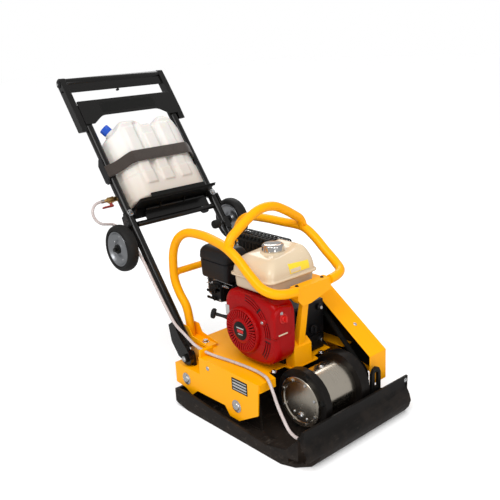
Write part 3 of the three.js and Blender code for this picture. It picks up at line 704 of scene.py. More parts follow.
def waterCanister():
    # rings of a rounded plan stand on each other; the height of the wall's top follows the shoulders, and the
    # front wall is pushed out over panels and in over channels and the strap's waist
    low, high = span("water_tank", handle)
    plan = rounded([(low[0], -138), (low[0] + 10, low[1]), (28, low[1]), (high[0], -110), (high[0], 110),
                    (28, high[1]), (low[0] + 10, high[1]), (low[0], 138)][::-1],
                   [8, 8, 20, 22, 22, 20, 8, 8], 9)
    dense = []
    for a, b in zip(plan, np.roll(plan, -1, 0)):
        count = max(1, int(np.linalg.norm(b - a) / 3.0))
        dense.append(a + (b - a) * np.linspace(0, 1, count, endpoint=False)[:, None])
    plan = np.concatenate(dense)
    middle = np.array([0.5 * (low[0] + high[0]), 0])
    v = np.broadcast_to(np.linspace(0, 1, 110)[:, None], (110, len(plan)))
    x, y = np.broadcast_to(plan[:, 0], v.shape), np.broadcast_to(plan[:, 1], v.shape)
    shoulder = high[2] - 36 * smoothStep(np.abs(y), 84, high[1]) ** 0.9
    hump = 20 * (1 - smoothStep(np.abs(y - 12), 22, 52))
    topLine = shoulder - 2 - hump
    z = low[2] + v * (topLine - low[2])
    foot, head = 1 - smoothStep(z, low[2], low[2] + canister["base"]), smoothStep(topLine - z, 0, 16)
    inset = 9 * foot ** 2 + 12 * (1 - head) ** 2
    front = smoothStep(x, 26, 60)
    columns = sum(pad(y, z, a, b, low[2] + 50, high[2] - c, 5) for a, b, c in (
        (-92, -58, 34), (-26, 10, 66), (44, 80, 34)))
    channel = sum(pad(y, z, a, b, low[2] + 30, high[2] - 20, 9) for a, b in ((-44, -38), (22, 30)))
    channel = channel * smoothStep(z, low[2] + 42, low[2] + 96)
    waist = pad(z, z, low[2] + 94, low[2] + 142, low[2] + 94, low[2] + 142, 8) * canister["waist"]
    push = front * (canister["panelHigh"] * columns - canister["channelDeep"] * channel - 4.0) - waist - inset
    cheekPad = pad(x, z, -20, 20, low[2] + 26, low[2] + 200, 6) * (np.abs(y) > 140)
    push = push + 1.6 * cheekPad - 1.8
    away = unit(np.stack([np.roll(plan[:, 1], -1) - np.roll(plan[:, 1], 1),
                          np.roll(plan[:, 0], 1) - np.roll(plan[:, 0], -1)], 1))
    away *= np.sign(np.sum(away * (plan - middle), 1))[:, None]
    wall = np.stack([x + push * away[:, 0], y + push * away[:, 1], z], -1)
    # the top closes over its middle line, which rises a little, and the bottom is flat
    k = np.linspace(0, 1, 16)[1:, None]
    edge = wall[-1]
    line = np.stack([np.full(len(plan), 8.0), np.clip(edge[:, 1], -112, 112), edge[:, 2]], 1)
    over = [edge + (line - edge) * s for s in k]
    crown = np.array([np.stack([o[:, 0], o[:, 1], o[:, 2] + 3.0 * math.sin(0.5 * math.pi * float(s))], 1)
                      for o, s in zip(over, k[:, 0])])
    rows = np.concatenate([wall, crown])
    piece("canister_body", [grid(rows, ends=True)], "handle", canisterPlastic, ("water_tank",), crease=50)
    neck = lathe([(0, -12), (17, -12), (19.5, -3), (16, -1.5), (16, 0), (0, 0)], (0, 0, 0), "z", 40)
    piece("canister_neck", [neck], "handle", canisterPlastic, place=tankCapPlace)


def canisterCap():
    low, high = span("tank_cap", tankCapPlace)
    r, h0, h1 = high[0], low[2], high[2]
    a = np.linspace(0, 2 * np.pi, 144, endpoint=False)
    # each row: how far inside the radius, height, and how deep its 36 ribs are
    rows = np.array([(3, h0, 0), (0.8, h0, 0), (0.6, h0 + 1.5, 1), (0.6, h1 - 3, 1), (1.6, h1 - 1, 0.4),
                     (3.4, h1 - 0.2, 0), (5, h1 - 1.4, 0)])
    radius = r - rows[:, :1] + rows[:, 2:] * 0.55 * np.cos(36 * a)
    side = np.stack([radius * np.cos(a), radius * np.sin(a), np.broadcast_to(rows[:, 1:2], radius.shape)], -1)
    piece("canister_cap", [grid(side, ends=True)], "tank_cap", bluePlastic, ("tank_cap",), crease=50)


strap = {"wide": 40.0, "thick": 2.2, "nearHeight": 647.0, "farHeight": 658.0, "wrap": 16.9}


def canisterStrap():
    # a flat band carried round the canister's front, and back round both tubes
    x = span("tank_strap", handle)[1][0] - 1.6
    wrap, near, far = strap["wrap"], strap["nearHeight"], strap["farHeight"]
    run = rounded([(17, -189), (22, -178), (30, -150.8), (x, -112), (x, 112), (32, 151.4), (10, 152.6),
                   (1, 153.1)], [2, 8, 14, 12, 12, 14, 3, 2], 8, False)
    hook = [(wrap * math.cos(a), tubeAt + wrap * math.sin(a))
            for a in np.linspace(-0.56 * math.pi, -1.45 * math.pi, 18)]
    run = np.concatenate([run, hook])
    path = np.column_stack([run, near + (far - near) * smoothStep(run[:, 1], -189, -90)])
    half, t = 0.5 * strap["wide"], 0.5 * strap["thick"]
    section = rounded([(-t, -half), (t, -half), (t, half), (-t, half)], 0.9, 4)
    turn = [(wrap * math.cos(a), -tubeAt - wrap * math.sin(a), near) for a in np.linspace(-0.6, 4.3, 22)]
    piece("canister_strap", [carried(section, path), carried(section, turn)], "handle", strapWeave,
          ("tank_strap",))
    catch = slab(rounded([(-15, 618), (17, 618), (17, 700), (3, 700), (-15, 684)], 4, 4), -190.5, -186.5, "y")
    buckle = slab(rounded([(-6, 610), (12, 610), (12, 626), (-6, 626)], 3, 4), -192, -186.5, "y")
    piece("strap_catches", [catch, buckle], "handle", plastic, bevel=0.7)


valve = {"x": -24.0, "z": 566.0, "hex": 10.5}


def brassValve():
    low, high = span("water_valve", handle)
    x, z, y0, y1 = valve["x"], valve["z"], low[1], high[1]
    turned = lathe([(0, y1), (8.5, y1), (8.5, y1 - 14), (6.4, y1 - 15), (6.4, y1 - 20), (8.2, y1 - 21),
                    (8.2, y1 - 34), (8.2, -190), (9.6, -191), (9.6, -204), (7, -206), (5.2, -207), (5.2, -210),
                    (6.0, -211), (4.7, -214), (6.0, -215), (4.7, -218), (6.0, -219), (4.7, -222), (5.6, -223),
                    (4.3, y0), (2.8, y0), (2.8, y0 + 8), (0, y0 + 8)], (x, 0, z), "y", 32)
    nut = lathe([(0, -190), (valve["hex"], -190), (valve["hex"], -183), (0, -183)], (x, 0, z), "y", 6)
    stem = drum((x, -198, z), (0, 0, -1), 5.5, 6, 11, 0.5, 24)
    piece("valve_body", [turned, nut, stem], "handle", brass, ("water_valve",), 0.4)
    piece("hose_clip", [collar(5.1, 6.4, -4, 4, (x, -223, z), "y", 32)], "handle", zinc, bevel=0.3)
    low, high = span("valve_lever", handle)
    end, foot = low[1], low[2]
    arm = rounded([(-196, foot), (-205, foot), (-214, foot), (end, foot), (end, foot + 4.5), (-212, foot + 5),
                   (-192, foot + 5), (-192, foot)], 1.2, 4)
    lever = [slab(arm, low[0] + 1, high[0] - 1, "x"), drum((x, -198, 0), "z", 5, foot, high[2], 0.5, 24)]
    piece("valve_handle", lever, "valve_lever", leverRed, ("valve_lever",), 0.9)


wheel = {"radius": 75.0, "rivetsAt": 38.0, "rivets": 6}


def transportWheels():
    for side, s in bothSides:
        body = f"wheel_{side}"
        low, high = span(body, handle)
        x, _, z = 0.5 * (low + high)
        inner, w = (high if s < 0 else low)[1], high[1] - low[1]

        def turned(profile, sides=72):
            return lathe([(a, inner + s * b) for a, b in profile], (x, 0, z), "y", sides)
        r, lips = wheel["radius"], [(57, 7), (60, 3.5), (63, 2.6)]
        crown = [(r - 11 + 11 * math.cos(a), 0.5 * w + (0.5 * w - 3) * math.sin(a))
                 for a in np.linspace(-0.5 * np.pi, 0.5 * np.pi, 15)[1:-1]]
        tyre = lips + crown + [(a, w - b) for a, b in lips[::-1]] + lips[:1]
        piece(f"tyre_{side}", [turned(tyre, 96)], body, tyreRubber, (body,), crease=50)
        disc = [(57.5, w - 8), (55.5, w - 5.5), (53, w - 6), (49, w - 12), (44, w - 17), (34, w - 19),
                (26, w - 17),
                (20, w - 12), (16.5, w - 9), (12, w - 9), (12, w - 12), (16, w - 14), (26, w - 21),
                (44, w - 22),
                (52, w - 17), (57.5, w - 16), (57.5, w - 8)]
        piece(f"wheel_disc_{side}", [turned(disc), turned([(a, w - b) for a, b in disc])], body, wheelSteel,
              crease=40)
        rivets = around((x, inner + s * (w - 19.2), z), wheel["rivetsAt"], wheel["rivets"])
        piece(f"wheel_rivets_{side}", each(domeBolt, rivets, (0, s, 0), 3.4), body, zinc)
        bush = collar(6.6, 15, inner + s * 4, inner + s * (w - 4), (x, 0, z), "y", 40)
        piece(f"wheel_bush_{side}", [bush], body, plastic, bevel=0.5)
        face = (x, inner + s * w, z)
        cap = [drum(face, (0, s, 0), 12.5, -3.5, -1.5, 0.3), drum(face, (0, s, 0), 6.2, -3, 7.5, 1.2)]
        piece(f"axle_cap_{side}", cap, "handle", satin)


handleFrame()
handlePanel()
canisterShelf()
rubberBumper()
waterCanister()
canisterCap()
canisterStrap()
brassValve()
transportWheels()
print("handle made")


# console: folded deck on rubber mounts, belt guard, and its fasteners

console = {"washer": 19.0, "sideBolt": 7.0, "mount": 23.0}


def consoleShell():
    refined("console", "machine", yellow, 2.2, 3)
    low, high = span("console")
    bolts = []
    for number in range(1, 5):
        mountLow, mountHigh = span(f"shock_mount_{number}")
        s = 1 if mountHigh[1] > 0 else -1
        x, middle, z = 0.5 * (mountLow + mountHigh)
        bolts.append(drum((x, s * high[1], z), (0, s, 0), console["washer"], 0.1, 2.2, 0.5))
        bolts += domeBolt((x, s * (high[1] + 2.1), z), (0, s, 0), 12.5)
        r, half = console["mount"], 0.5 * (mountHigh[1] - mountLow[1])
        end = [(0, -half), (r - 3, -half), (r, -half + 2), (r, -half + 7)]
        waist = [(r - 3.5 * math.cos(t), 0.55 * (half - 7) * math.sin(t))
                 for t in np.linspace(-0.5 * np.pi, 0.5 * np.pi, 9)]
        profile = end + waist + [(a, -b) for a, b in end[::-1]]
        piece(f"rubber_mount_{number}", [lathe(profile, (x, middle, z))], "machine", rubber,
              (f"shock_mount_{number}",), crease=45)
    for (_, s), y in zip(bothSides, (low[1], high[1])):
        bolts += domeBolt((-152, y, 165), (0, s, 0), console["sideBolt"])
    bolts += each(hexBolt, [(x, y, high[2]) for x, y in ((-176, -60), (40, -120), (52, 60), (-176, 60))], "z", 6.5)
    piece("console_bolts", bolts, "machine", zinc)
    face = low[1]
    plate = slab(roundRect(-45, 21, 137, 176, 2, 4), face - 0.35, face, "y")
    piece("rating_plate", [plate], "machine", satin, bevel=0.12)
    bars = [slab(roundRect(-41, 17, z, z + h, 0.8, 3), face - 0.6, face - 0.3, "y")
            for z, h in ((168, 3), (158, 5), (149, 5), (141, 3))]
    piece("rating_plate_blanks", bars, "machine", labelGrey)
    stop = rounded([(-193, 134), (-186, 134), (-186, 205), (-190, 210), (-193, 210)], 1.5, 3)
    stops = [slab(stop, y, y + 48, "y") for y in (low[1] + 2, high[1] - 50)]
    piece("recess_stops", stops, "machine", yellow, bevel=0.8)


guard = {"slopeFrom": (195, 203), "slopeTo": (-42, 371), "boltAt": 0.37}


def beltGuard():
    refined("belt_guard", "machine", yellow, 1.6, 3)
    face = span("belt_guard")[1][1]
    low, high = np.array(guard["slopeFrom"]), np.array(guard["slopeTo"])
    x, z = low + (high - low) * guard["boltAt"]
    along = unit(high - low)
    bolts = domeBolt((x, 147, z), (along[1], 0, -along[0]), 6.0)
    bolts += each(domeBolt, [(x, face, z) for x, z in ((170, 150), (-130, 220), (-130, 330))], "y", 7.0)
    piece("guard_bolts", bolts, "machine", zinc)
    vents = [slab(roundRect(x, x + 9, 240, 302, 4.4, 5), face - 0.2, face + 0.5, "y")
             for x in (-60, -38, -16, 6)]
    piece("guard_vents", vents, "machine", satin, bevel=0.2)
    # painted shade: a thin black sheet just inside the guard's outer wall darkens the inside of the open guard
    insideShade = [(188, 118), (188, 200), (-42, 362), (-120, 362), (-144, 340), (-144, 192)]
    piece("guard_inside_shade", [slab(insideShade, face - 4.2, face - 3.4, "y")], "machine", satin)


def turningParts():
    for node, body, finish, bevel in (
            ("crankshaft", "crank", zinc, 0.8), ("flywheel", "crank", castMetal, 1.0),
            ("clutch_pulley", "crank", castMetal, 1.0), ("eccentric_shaft", "exciter_rotor", zinc, 0.8),
            ("exciter_pulley", "exciter_rotor", satin, 1.0), ("bearing_near", "machine", zinc, 0.6),
            ("bearing_far", "machine", zinc, 0.6), ("drive_belt", "machine", rubber, 0.8)):
        refined(node, body, finish, bevel)
    low, high = span("clutch_pulley")
    x, _, z = 0.5 * (low + high)
    centre = (x, high[1], z)
    piece("clutch_bolts", each(domeBolt, around(centre, 38, 6), "y", 4.5) + hexBolt(centre, "y", 10),
          "crank", zinc)


# cage: two side tubes, a rear bar, an arch, and the bracket and post in front

cage = {
    "radius": 13.5,
    "side": [(-325, -130, 196.5), (-328, -130, 245), (-340, -130, 290), (-369, -130, 325), (-389, -130, 363),
             (-392, -130, 413), (-384, -129, 464), (-358, -127, 505), (-318, -124, 528), (-243, -125, 535),
             (-170, -134, 533), (-95, -149, 526), (-50, -150, 503), (-6, -150, 469), (36, -147, 441),
             (66, -132, 429), (80, -104, 424), (84, -66.5, 421)],
    "archX": -95, "archLeg": [(148, 527), (144, 541), (134, 556), (112, 571), (74, 594), (35, 612)],
}


def weld(path, radius, up=(0, 1, 0)):
    # a bead whose thickness ripples along its length
    path = np.array(path, float)
    ripple = 1 + 0.18 * np.sin(np.arange(len(path)) * 1.9)
    return carried(circle(radius, 10), path, up, ripple, closed=True)


def protectiveCage():
    r = cage["radius"]
    for side, s in bothSides:
        run = np.array(cage["side"], float) * (1, -s, 1)
        inner, outer = s * 130 - 22, s * 130 + 20
        plate = rounded([(-350, inner), (-214, inner + 6), (-214, outer - 6), (-350, outer)], 5, 4)
        rib = rounded([(-350, 192), (-214, 192), (-222, 198), (-292, 210), (-306, 236), (-345, 236),
                       (-350, 225)], 4, 4)
        shapes = [tube(run, r, (0.05, 1, 0.02), 28), slab(plate, 188.3, 196, "z"),
                  slab(rib, inner, inner + 3.5, "y"), slab(rib, outer - 3.5, outer, "y")]
        piece(f"cage_tube_{side}", shapes, "machine", yellow, (f"cage_side_{side}",), 0.8, 40)
    bar = tube([(-391, y, 389) for y in (-128, -40, 40, 128)], 11, (0, 0, 1), 24)
    piece("cage_cross_tube", [bar], "machine", yellow, ("cage_rear_bar",))
    x, leg = cage["archX"], cage["archLeg"]
    arch = [(x, -y, z) for y, z in leg] + [(x, 0, 617)] + [(x, y, z) for y, z in leg[::-1]]
    piece("cage_arch_tube", [tube(arch, r, (1, 0, 0), 28, 5.0)], "machine", yellow, ("cage_arch",))
    beads = []
    a = np.linspace(0, 2 * np.pi, 40, endpoint=False)
    for _, s in bothSides:
        barEnd = np.stack([-391 + 11.6 * np.cos(a), np.full(40, s * 118.2), 389 + 11.6 * np.sin(a)], 1)
        archFoot = np.stack([x + 14.5 * np.cos(a), s * (146.5 - 6 * np.cos(a) ** 2),
                             538 + 2 * np.sin(a) ** 2 + 8.5 * np.sin(a)], 1)
        beads += [weld(barEnd, 2.0), weld(archFoot, 2.2, (0, 0.4, 1))]
    piece("cage_welds", beads, "machine", yellow)
    piece("cage_bolts", each(hexBolt, [(-250, s * 132, 196) for _, s in bothSides], "z", 8), "machine", zinc)


def frontBracket():
    refined("cage_front_post", "machine", yellow, 1.6, 3)
    piece("bracket_bolts", each(hexBolt, [(72, y, 430) for y in (-52, 48)], "z", 4.0), "machine", satin)


# engine

fan = {"radius": 66.0, "fins": 38, "badge": 29.0}


def roundedBody(outline, levels, insets, axis="y"):
    # one outline repeated at several depths, drawn in towards its middle by an inset at each
    outline = np.array(outline, float)
    middle = 0.5 * (outline.min(0) + outline.max(0))
    reach = 0.5 * (outline.max(0) - outline.min(0))
    insets, levels = np.array(insets, float), np.array(levels, float)
    shrink = 1 - insets[:, None] / reach[None]
    flat = middle + (outline - middle)[None] * shrink[:, None]
    level = np.broadcast_to(levels[:, None, None], flat.shape[:2] + (1,))
    a, b = flat[..., :1], flat[..., 1:]
    order = {"x": (level, a, b), "y": (a, level, b), "z": (a, b, level)}[axis]
    return grid(np.concatenate(order, -1), ends=True)


def easedLevels(low, high, radius, steps=6, both=True):
    # depths and insets of a quarter-round edge at the far end, and at the near end too
    t = np.linspace(0, 0.5 * np.pi, steps)
    into, inset = math.copysign(radius, high - low) * (1 - np.sin(t)), radius * (1 - np.cos(t))
    if both:
        return np.concatenate([low + into[::-1], high - into]), np.concatenate([inset[::-1], inset])
    return np.concatenate([[low], high - into]), np.concatenate([[0.0], inset])


def fanCover():
    low, high = span("fan_cover")
    x, _, z = 0.5 * sum(span("flywheel"))
    face, back = low[1], high[1]
    outline = rounded([(-122, 398), (-138, 376), (-141, 300), (-133, 256), (-108, 222), (-72, 203), (12, 203),
                       (52, 216), (76, 250), (78, 372), (62, 396), (30, 402), (-100, 402)],
                      [10, 14, 30, 30, 30, 30, 26, 26, 26, 20, 16, 12, 12], 7)
    levels, insets = easedLevels(back, face + 15, 15, 8, False)
    shapes = [roundedBody(outline, levels, insets)]
    # the starter dome: a raised rim, a ring of fins and a flat badge
    r = fan["radius"]
    rim = [(r + 2, 16), (r + 1, 8), (r - 1.5, 4.5), (r - 5, 4), (r - 7, 6), (r - 7.5, 12), (r - 7.5, 16),
           (r + 2, 16)]
    shapes.append(lathe(rim, (x, face, z), "y", 96))
    hub = fan["badge"]
    shapes.append(lathe([(0, face + 0.9), (hub - 1, face + 0.9), (hub, face + 0.1), (hub + 4, face + 0.4),
                         (hub + 8, face + 2.6), (hub + 9, face + 12), (0, face + 12)], (x, 0, z), "y", 72))
    count = fan["fins"]
    for k in range(count):
        a = 2 * math.pi * k / count
        radial, across = np.array([math.cos(a), math.sin(a)]), np.array([-math.sin(a), math.cos(a)])
        corners = [radial * p + across * q
                   for p, q in ((hub + 5, -1.5), (hub + 5, 1.5), (r - 6, 3.4), (r - 6, -2.6))]
        shapes.append(slab([(x + c[0], z + c[1]) for c in corners], face + 1.8 + 0.02 * k, face + 12, "y"))
    # two arcs of louvres on the driver's upper side, and a raised screw boss between them
    for start, stop in ((0.02, 0.40), (-0.62, -0.12), (0.86, 1.42), (0.56, 0.80)):
        for radius in (90, 98, 106):
            a = np.linspace(start, stop, 16)
            line = np.stack([x + radius * np.cos(a), np.full(16, face + 14.6), z + radius * np.sin(a)], 1)
            shapes.append(carried(roundRect(-2.1, 2.1, -1.2, 2.6, 1.2, 4), line, (0, -1, 0)))
    boss = (x + 97 * math.cos(0.49), z + 97 * math.sin(0.49))
    shapes.append(lathe([(0, face + 8.6), (7.5, face + 8.6), (9.5, face + 10), (12, face + 16), (0, face + 16)],
                        (boss[0], 0, boss[1]), "y", 32))
    # the swelling on the driver's right that carries the switch
    swell = rounded([(-146, 300), (-78, 300), (-78, 384), (-120, 392), (-146, 372)], [10, 6, 6, 14, 16], 6)
    levels, insets = easedLevels(62, 77.9, 7, 6, False)
    shapes.append(roundedBody(swell, levels, insets, "x"))
    piece("fan_cover_shell", shapes, "machine", red, ("fan_cover",), crease=40)
    # painted shade: a black ring behind the fins and black strips behind the louvres darken their slots
    dark = [lathe([(hub + 6, face + 10.5), (r - 6, face + 10.5), (r - 6, face + 15.2), (hub + 6, face + 15.2),
                   (hub + 6, face + 10.5)], (x, 0, z), "y", 72)]
    for start, stop in ((-0.01, 0.43), (-0.65, -0.09), (0.83, 1.45), (0.53, 0.83)):
        a = np.linspace(start, stop, 18)
        line = np.stack([x + 98 * np.cos(a), np.full(18, face + 15.3), z + 98 * np.sin(a)], 1)
        dark.append(carried(roundRect(-11.5, 11.5, -0.6, 0.6, 0.5, 3), line, (0, -1, 0)))
    piece("fan_slot_shade", dark, "machine", plastic)
    badge = [drum((x, face, z), (0, -1, 0), hub - 1.4, -1, -0.3, 0.2, 64)]
    piece("fan_badge", badge, "machine", satin)
    bars = [slab(roundRect(x - 15, x + 15, z + 6, z + 9.5, 1.2, 4), face + 0.05, face + 0.35, "y"),
            slab(roundRect(x - 10, x + 10, z - 12, z - 9.5, 1, 4), face + 0.05, face + 0.35, "y")]
    piece("fan_badge_bars", bars, "machine", labelGrey)
    pad = [slab(roundRect(x - 13, x + 13, z - 6, z + 3, 1.2, 4), face + 0.05, face + 0.35, "y")]
    piece("fan_badge_patch", pad, "machine", redPlastic)
    screws = domeBolt((boss[0], face + 8.7, boss[1]), (0, -1, 0), 4.6)
    screws += hexBolt((77.6, -118, 372), "x", 3.6)
    piece("fan_cover_screws", screws, "machine", zinc)
    stripe = [slab(roundRect(-132, -98, 309, 313, 1.4, 4), 77.6, 78.4, "x")]
    piece("fan_cover_line", stripe, "machine", cream, bevel=0.1)
    plate = [slab(roundRect(-134, -118, 322, 352, 1.5, 4), face + 14.6, face + 15.1, "y")]
    piece("fan_cover_label", plate, "machine", labelGrey, bevel=0.1)


def starterAndSwitch():
    low, high = span("starter_grip", starterPlace)
    neck = lathe([(0, 1), (6.5, 1), (7.2, 3), (5.5, 8), (4.6, 20), (5.4, 36), (0, 36)], (0, 0, 0), "z", 28)
    top = high[2]
    half = 15.0
    wide = roundedBody(rounded([(-half, top - 15), (half, top - 15), (half, top - 2), (0.35 * half, top),
                                (-0.35 * half, top), (-half, top - 2)], 5, 6), *easedLevels(-7.5, 7.5, 4, 5))
    piece("starter_handle", [neck, wide], "starter_grip", plastic, ("starter_grip",), crease=45)
    guide = [lathe([(0, -8), (11, -8), (11, -1.5), (9, 0.4), (5.5, 0.4), (5, -3), (0, -3)], (0, 0, 0), "z", 32)]
    piece("starter_guide", guide, "machine", plastic, place=starterPlace)
    # the rope unwinds from the reel behind the cover; here it is a short cord that stays in place
    run = np.linspace(-6, 3, 28)
    cord = lathe([(0, run[0])] + [(2.1, z) for z in run] + [(0, run[-1])], (0, 0, 0), "z", 16)
    rope = piece("starter_rope", [cord], None, strapWeave, place=starterPlace)
    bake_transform(rope)
    low, high = span("engine_switch")
    _, y, z = 0.5 * (low + high)
    knob = [lathe([(0, 0), (8.8, 0), (9, 5), (8.2, 7), (0, 7)], (low[0], y, z), "x", 40),
            block((low[0] + 6, y - 2.6, z - 8), (high[0], y + 2.6, z + 8), 1.6, "y")]
    piece("stop_switch", knob, "engine_switch", redPlastic, ("engine_switch",), bevel=0.8)
    bezel = lathe([(9.6, -0.6), (14, -0.6), (13.4, 1.6), (9.8, 2.2), (9.6, -0.6)], (low[0], y, z), "x", 48)
    piece("switch_bezel", [bezel], "machine", redPlastic)
    low, high = span("oil_cap")
    _, y, z = 0.5 * (low + high)
    cap = [lathe([(0, 0), (9, 0), (9, 4), (12.8, 5), (12.8, 9), (0, 9)], (low[0], y, z), "x", 12),
           block((low[0] + 8, y - 3, z - 11), (high[0], y + 3, z + 11), 2.5, "y")]
    piece("oil_filler", cap, "oil_cap", plastic, ("oil_cap",), bevel=0.9)


def fuelTank():
    # the pressed upper half: rings of a rounded plan whose inset grows over the shoulder, and a crowned top
    low, high = span("fuel_tank")
    plan = rounded([(low[0], low[1]), (high[0], low[1]), (high[0], high[1]), (low[0], high[1])], 26, 12)
    middle, reach = 0.5 * (low + high)[:2], 0.5 * (high - low)[:2]

    def ring(inset, z, lift=0.0, over=0.0):
        p = middle + (plan - middle) * (1 - inset / reach)
        dome = lift * (1 - ((p - middle) / reach) ** 2).clip(0, 1).prod(1)
        dome += 19.0 * over * smoothStep(p[:, 1], -12, 36)
        return np.column_stack([p[:, 0], p[:, 1] + 13.0 * over, np.full(len(p), z) + dome])
    seamLow, seamHigh, top = 445.0, 450.5, high[2]
    rows = [ring(30, 407), ring(16, 407.2), ring(11.5, 409.5), ring(10, 414), ring(8.5, 438), ring(6, 443.5),
            ring(0.8, seamLow), ring(0, seamLow + 1), ring(0, seamHigh - 1), ring(0.8, seamHigh),
            ring(4, seamHigh + 0.6), ring(5, seamHigh + 3)]
    for t in np.linspace(0.05, 0.5 * np.pi, 12):
        rise, draw = math.sin(t), 1 - math.cos(t)
        rows.append(ring(5.5 + 36 * draw, 458 + (top - 466) * rise ** 1.15, 4 * rise, draw))
    for share in (0.25, 0.5, 0.7, 0.85, 0.95):
        rows.append(ring(41.5 + share * (min(reach) - 44), top - 8 + 3.0 * share, 5.5, 1.0))
    piece("petrol_tank", [grid(np.array(rows), ends=True)], "machine", cream, ("fuel_tank",), crease=50)
    # the filler's raised seat
    capLow, capHigh = span("fuel_cap")
    cx, cy, _ = 0.5 * (capLow + capHigh)
    seat = lathe([(0, 498), (44, 498), (39, 504), (33.5, 507.6), (30, 508.6), (0, 508.6)], (cx, cy, 0), "z", 64)
    piece("filler_seat", [seat], "machine", cream)
    r, h0, h1 = 0.5 * (capHigh[0] - capLow[0]), capLow[2], capHigh[2]
    a = np.linspace(0, 2 * np.pi, 180, endpoint=False)
    rows = np.array([(r - 3, h0, 0), (r - 0.6, h0, 0), (r, h0 + 1.5, 0), (r - 0.4, h0 + 4, 1),
                     (r - 0.6, h1 - 7, 1), (r - 1.5, h1 - 3.5, 0.6), (r - 4.5, h1 - 1.2, 0),
                     (r - 9, h1 - 0.2, 0),
                     (6, h1, 0)])
    lobes = -1.3 * (0.5 + 0.5 * np.cos(12 * a)) ** 3
    radius = rows[:, :1] + rows[:, 2:] * lobes
    side = np.stack([cx + radius * np.cos(a), cy + radius * np.sin(a),
                     np.broadcast_to(rows[:, 1:2], radius.shape)], -1)
    piece("filler_cap", [grid(side, ends=True)], "fuel_cap", chrome, ("fuel_cap",), crease=50)


def tankLabel():
    # a blank sticker and its boxes on the tank's front wall
    x = span("fuel_tank")[1][0] - 4

    def patch(y0, y1, z0, z1, lift, finish, name):
        t = np.linspace(0, 1, 9)
        zz, yy = np.meshgrid(z0 + (z1 - z0) * t, y0 + (y1 - y0) * t, indexing="ij")
        rise = zz - 452
        xx = x - 0.6 - 36 * (1 - np.sqrt(np.clip(1 - (np.clip(rise / 48, 0, 0.98)) ** 2, 0, 1))) + lift
        front = np.stack([xx, yy, zz], -1)
        back = front - (0.8, 0, 0)
        points = np.concatenate([front.reshape(-1, 3), back.reshape(-1, 3)])
        faces = gridFaces(9, 9, False, False) + [f[::-1] for f in gridFaces(9, 9, False, False, 81)]
        rim = list(range(9)) + list(range(17, 81, 9)) + list(range(79, 71, -1)) + list(range(63, 0, -9))
        faces += [[a, b, b + 81, a + 81] for a, b in zip(rim, rim[1:] + rim[:1])]
        piece(name, [(points, faces)], "machine", finish)
    patch(-50, 26, 459, 487, 1.2, labelYellow, "tank_sticker")
    patch(-47, -8, 461, 471, 1.5, cream, "tank_sticker_box")


def engineBlock():
    refined("engine_block", "machine", darkCast, 3.0, 3)
    low, _ = span("engine_block")
    rib = rounded([(28, 204), (34, 206), (34, 330), (28, 336)], 2, 3)
    ribs = [slab(rib, y, y + 4, "y") for y in (-40, -14, 12)]
    sump = block((26, -52, 198), (35, 84, 240), 4, "x")
    corners = [(y, z) for z in (222, 322) for y in (-44, 76)]
    pads = [lathe([(0, 27), (10, 27), (10, 37), (7, 38), (0, 38)], (0, y, z), "x", 24) for y, z in corners]
    ring = lathe([(20.5, 96), (44, 96), (44, 100), (40, 104), (20.5, 104), (20.5, 96)], (-58, 0, 294), "y", 48)
    piece("block_ribs", [*ribs, sump, *pads, ring], "machine", darkCast, bevel=1.2)
    bolts = each(hexBolt, [(38, y, z) for y, z in corners], "x", 5.5, False)
    bolts += each(hexBolt, [(35, y, 212) for y in (-10, 30)], "x", 6.0)
    bolts += each(hexBolt, [(x, y, low[2] + 14) for y in (-60, 88) for x in (-126, 14)], "z", 6.5)
    piece("block_bolts", bolts, "machine", zinc)
    refined("cylinder_head", "machine", castMetal, 1.2)
    fins = [slab(roundRect(-206, -140, y, y + 2.6, 1, 3), 363.4, 372, "z") for y in range(-42, 76, 9)]
    rocker = roundedBody(roundRect(-30, 60, 246, 346, 14, 6), *easedLevels(-212, -228, 6, 5, False), "x")
    piece("rocker_cover", [rocker] + fins, "machine", castMetal, bevel=0.5)
    lead = tube([(-228, 16, 316), (-246, 16, 320), (-250, 4, 340), (-236, -8, 366), (-200, -20, 378),
                 (-160, -40, 376)], 3.4, (0, 0, 1), 14, 5)
    boot = lathe([(0, 0), (9, 0), (9.5, 3), (8, 16), (6, 24), (0, 24)], (-226, 16, 316), (-1, 0, 0.1), 28)
    piece("plug_lead", [lead, boot], "machine", rubber)


def airCleaner():
    low, high = span("air_cleaner")
    plan = roundRect(low[0], high[0], low[1], high[1], 16, 8)
    middle = 0.5 * (plan.min(0) + plan.max(0))
    reach = 0.5 * (plan.max(0) - plan.min(0))
    levels = [(392, 9), (392.5, 5), (396, 3.2), (446, 1.2), (447, 3.6), (449.6, 3.6), (450.6, 0.6), (453, 0),
              (470, 1), (477, 3.2), (483.5, 7.5), (488, 13), (high[2], 20), (high[2], 34)]
    rows = np.array([np.column_stack([middle + (plan - middle) * (1 - i / reach), np.full(len(plan), z)])
                     for z, i in levels])
    x, y, _ = 0.5 * (low + high)
    knob = lathe([(0, -4), (12, -4), (12, -1), (10, 0.6), (0, 0.9)], (x, y, high[2]), "z", 10)
    piece("air_filter_box", [grid(rows, ends=True), knob], "machine", plastic, ("air_cleaner",), crease=45)


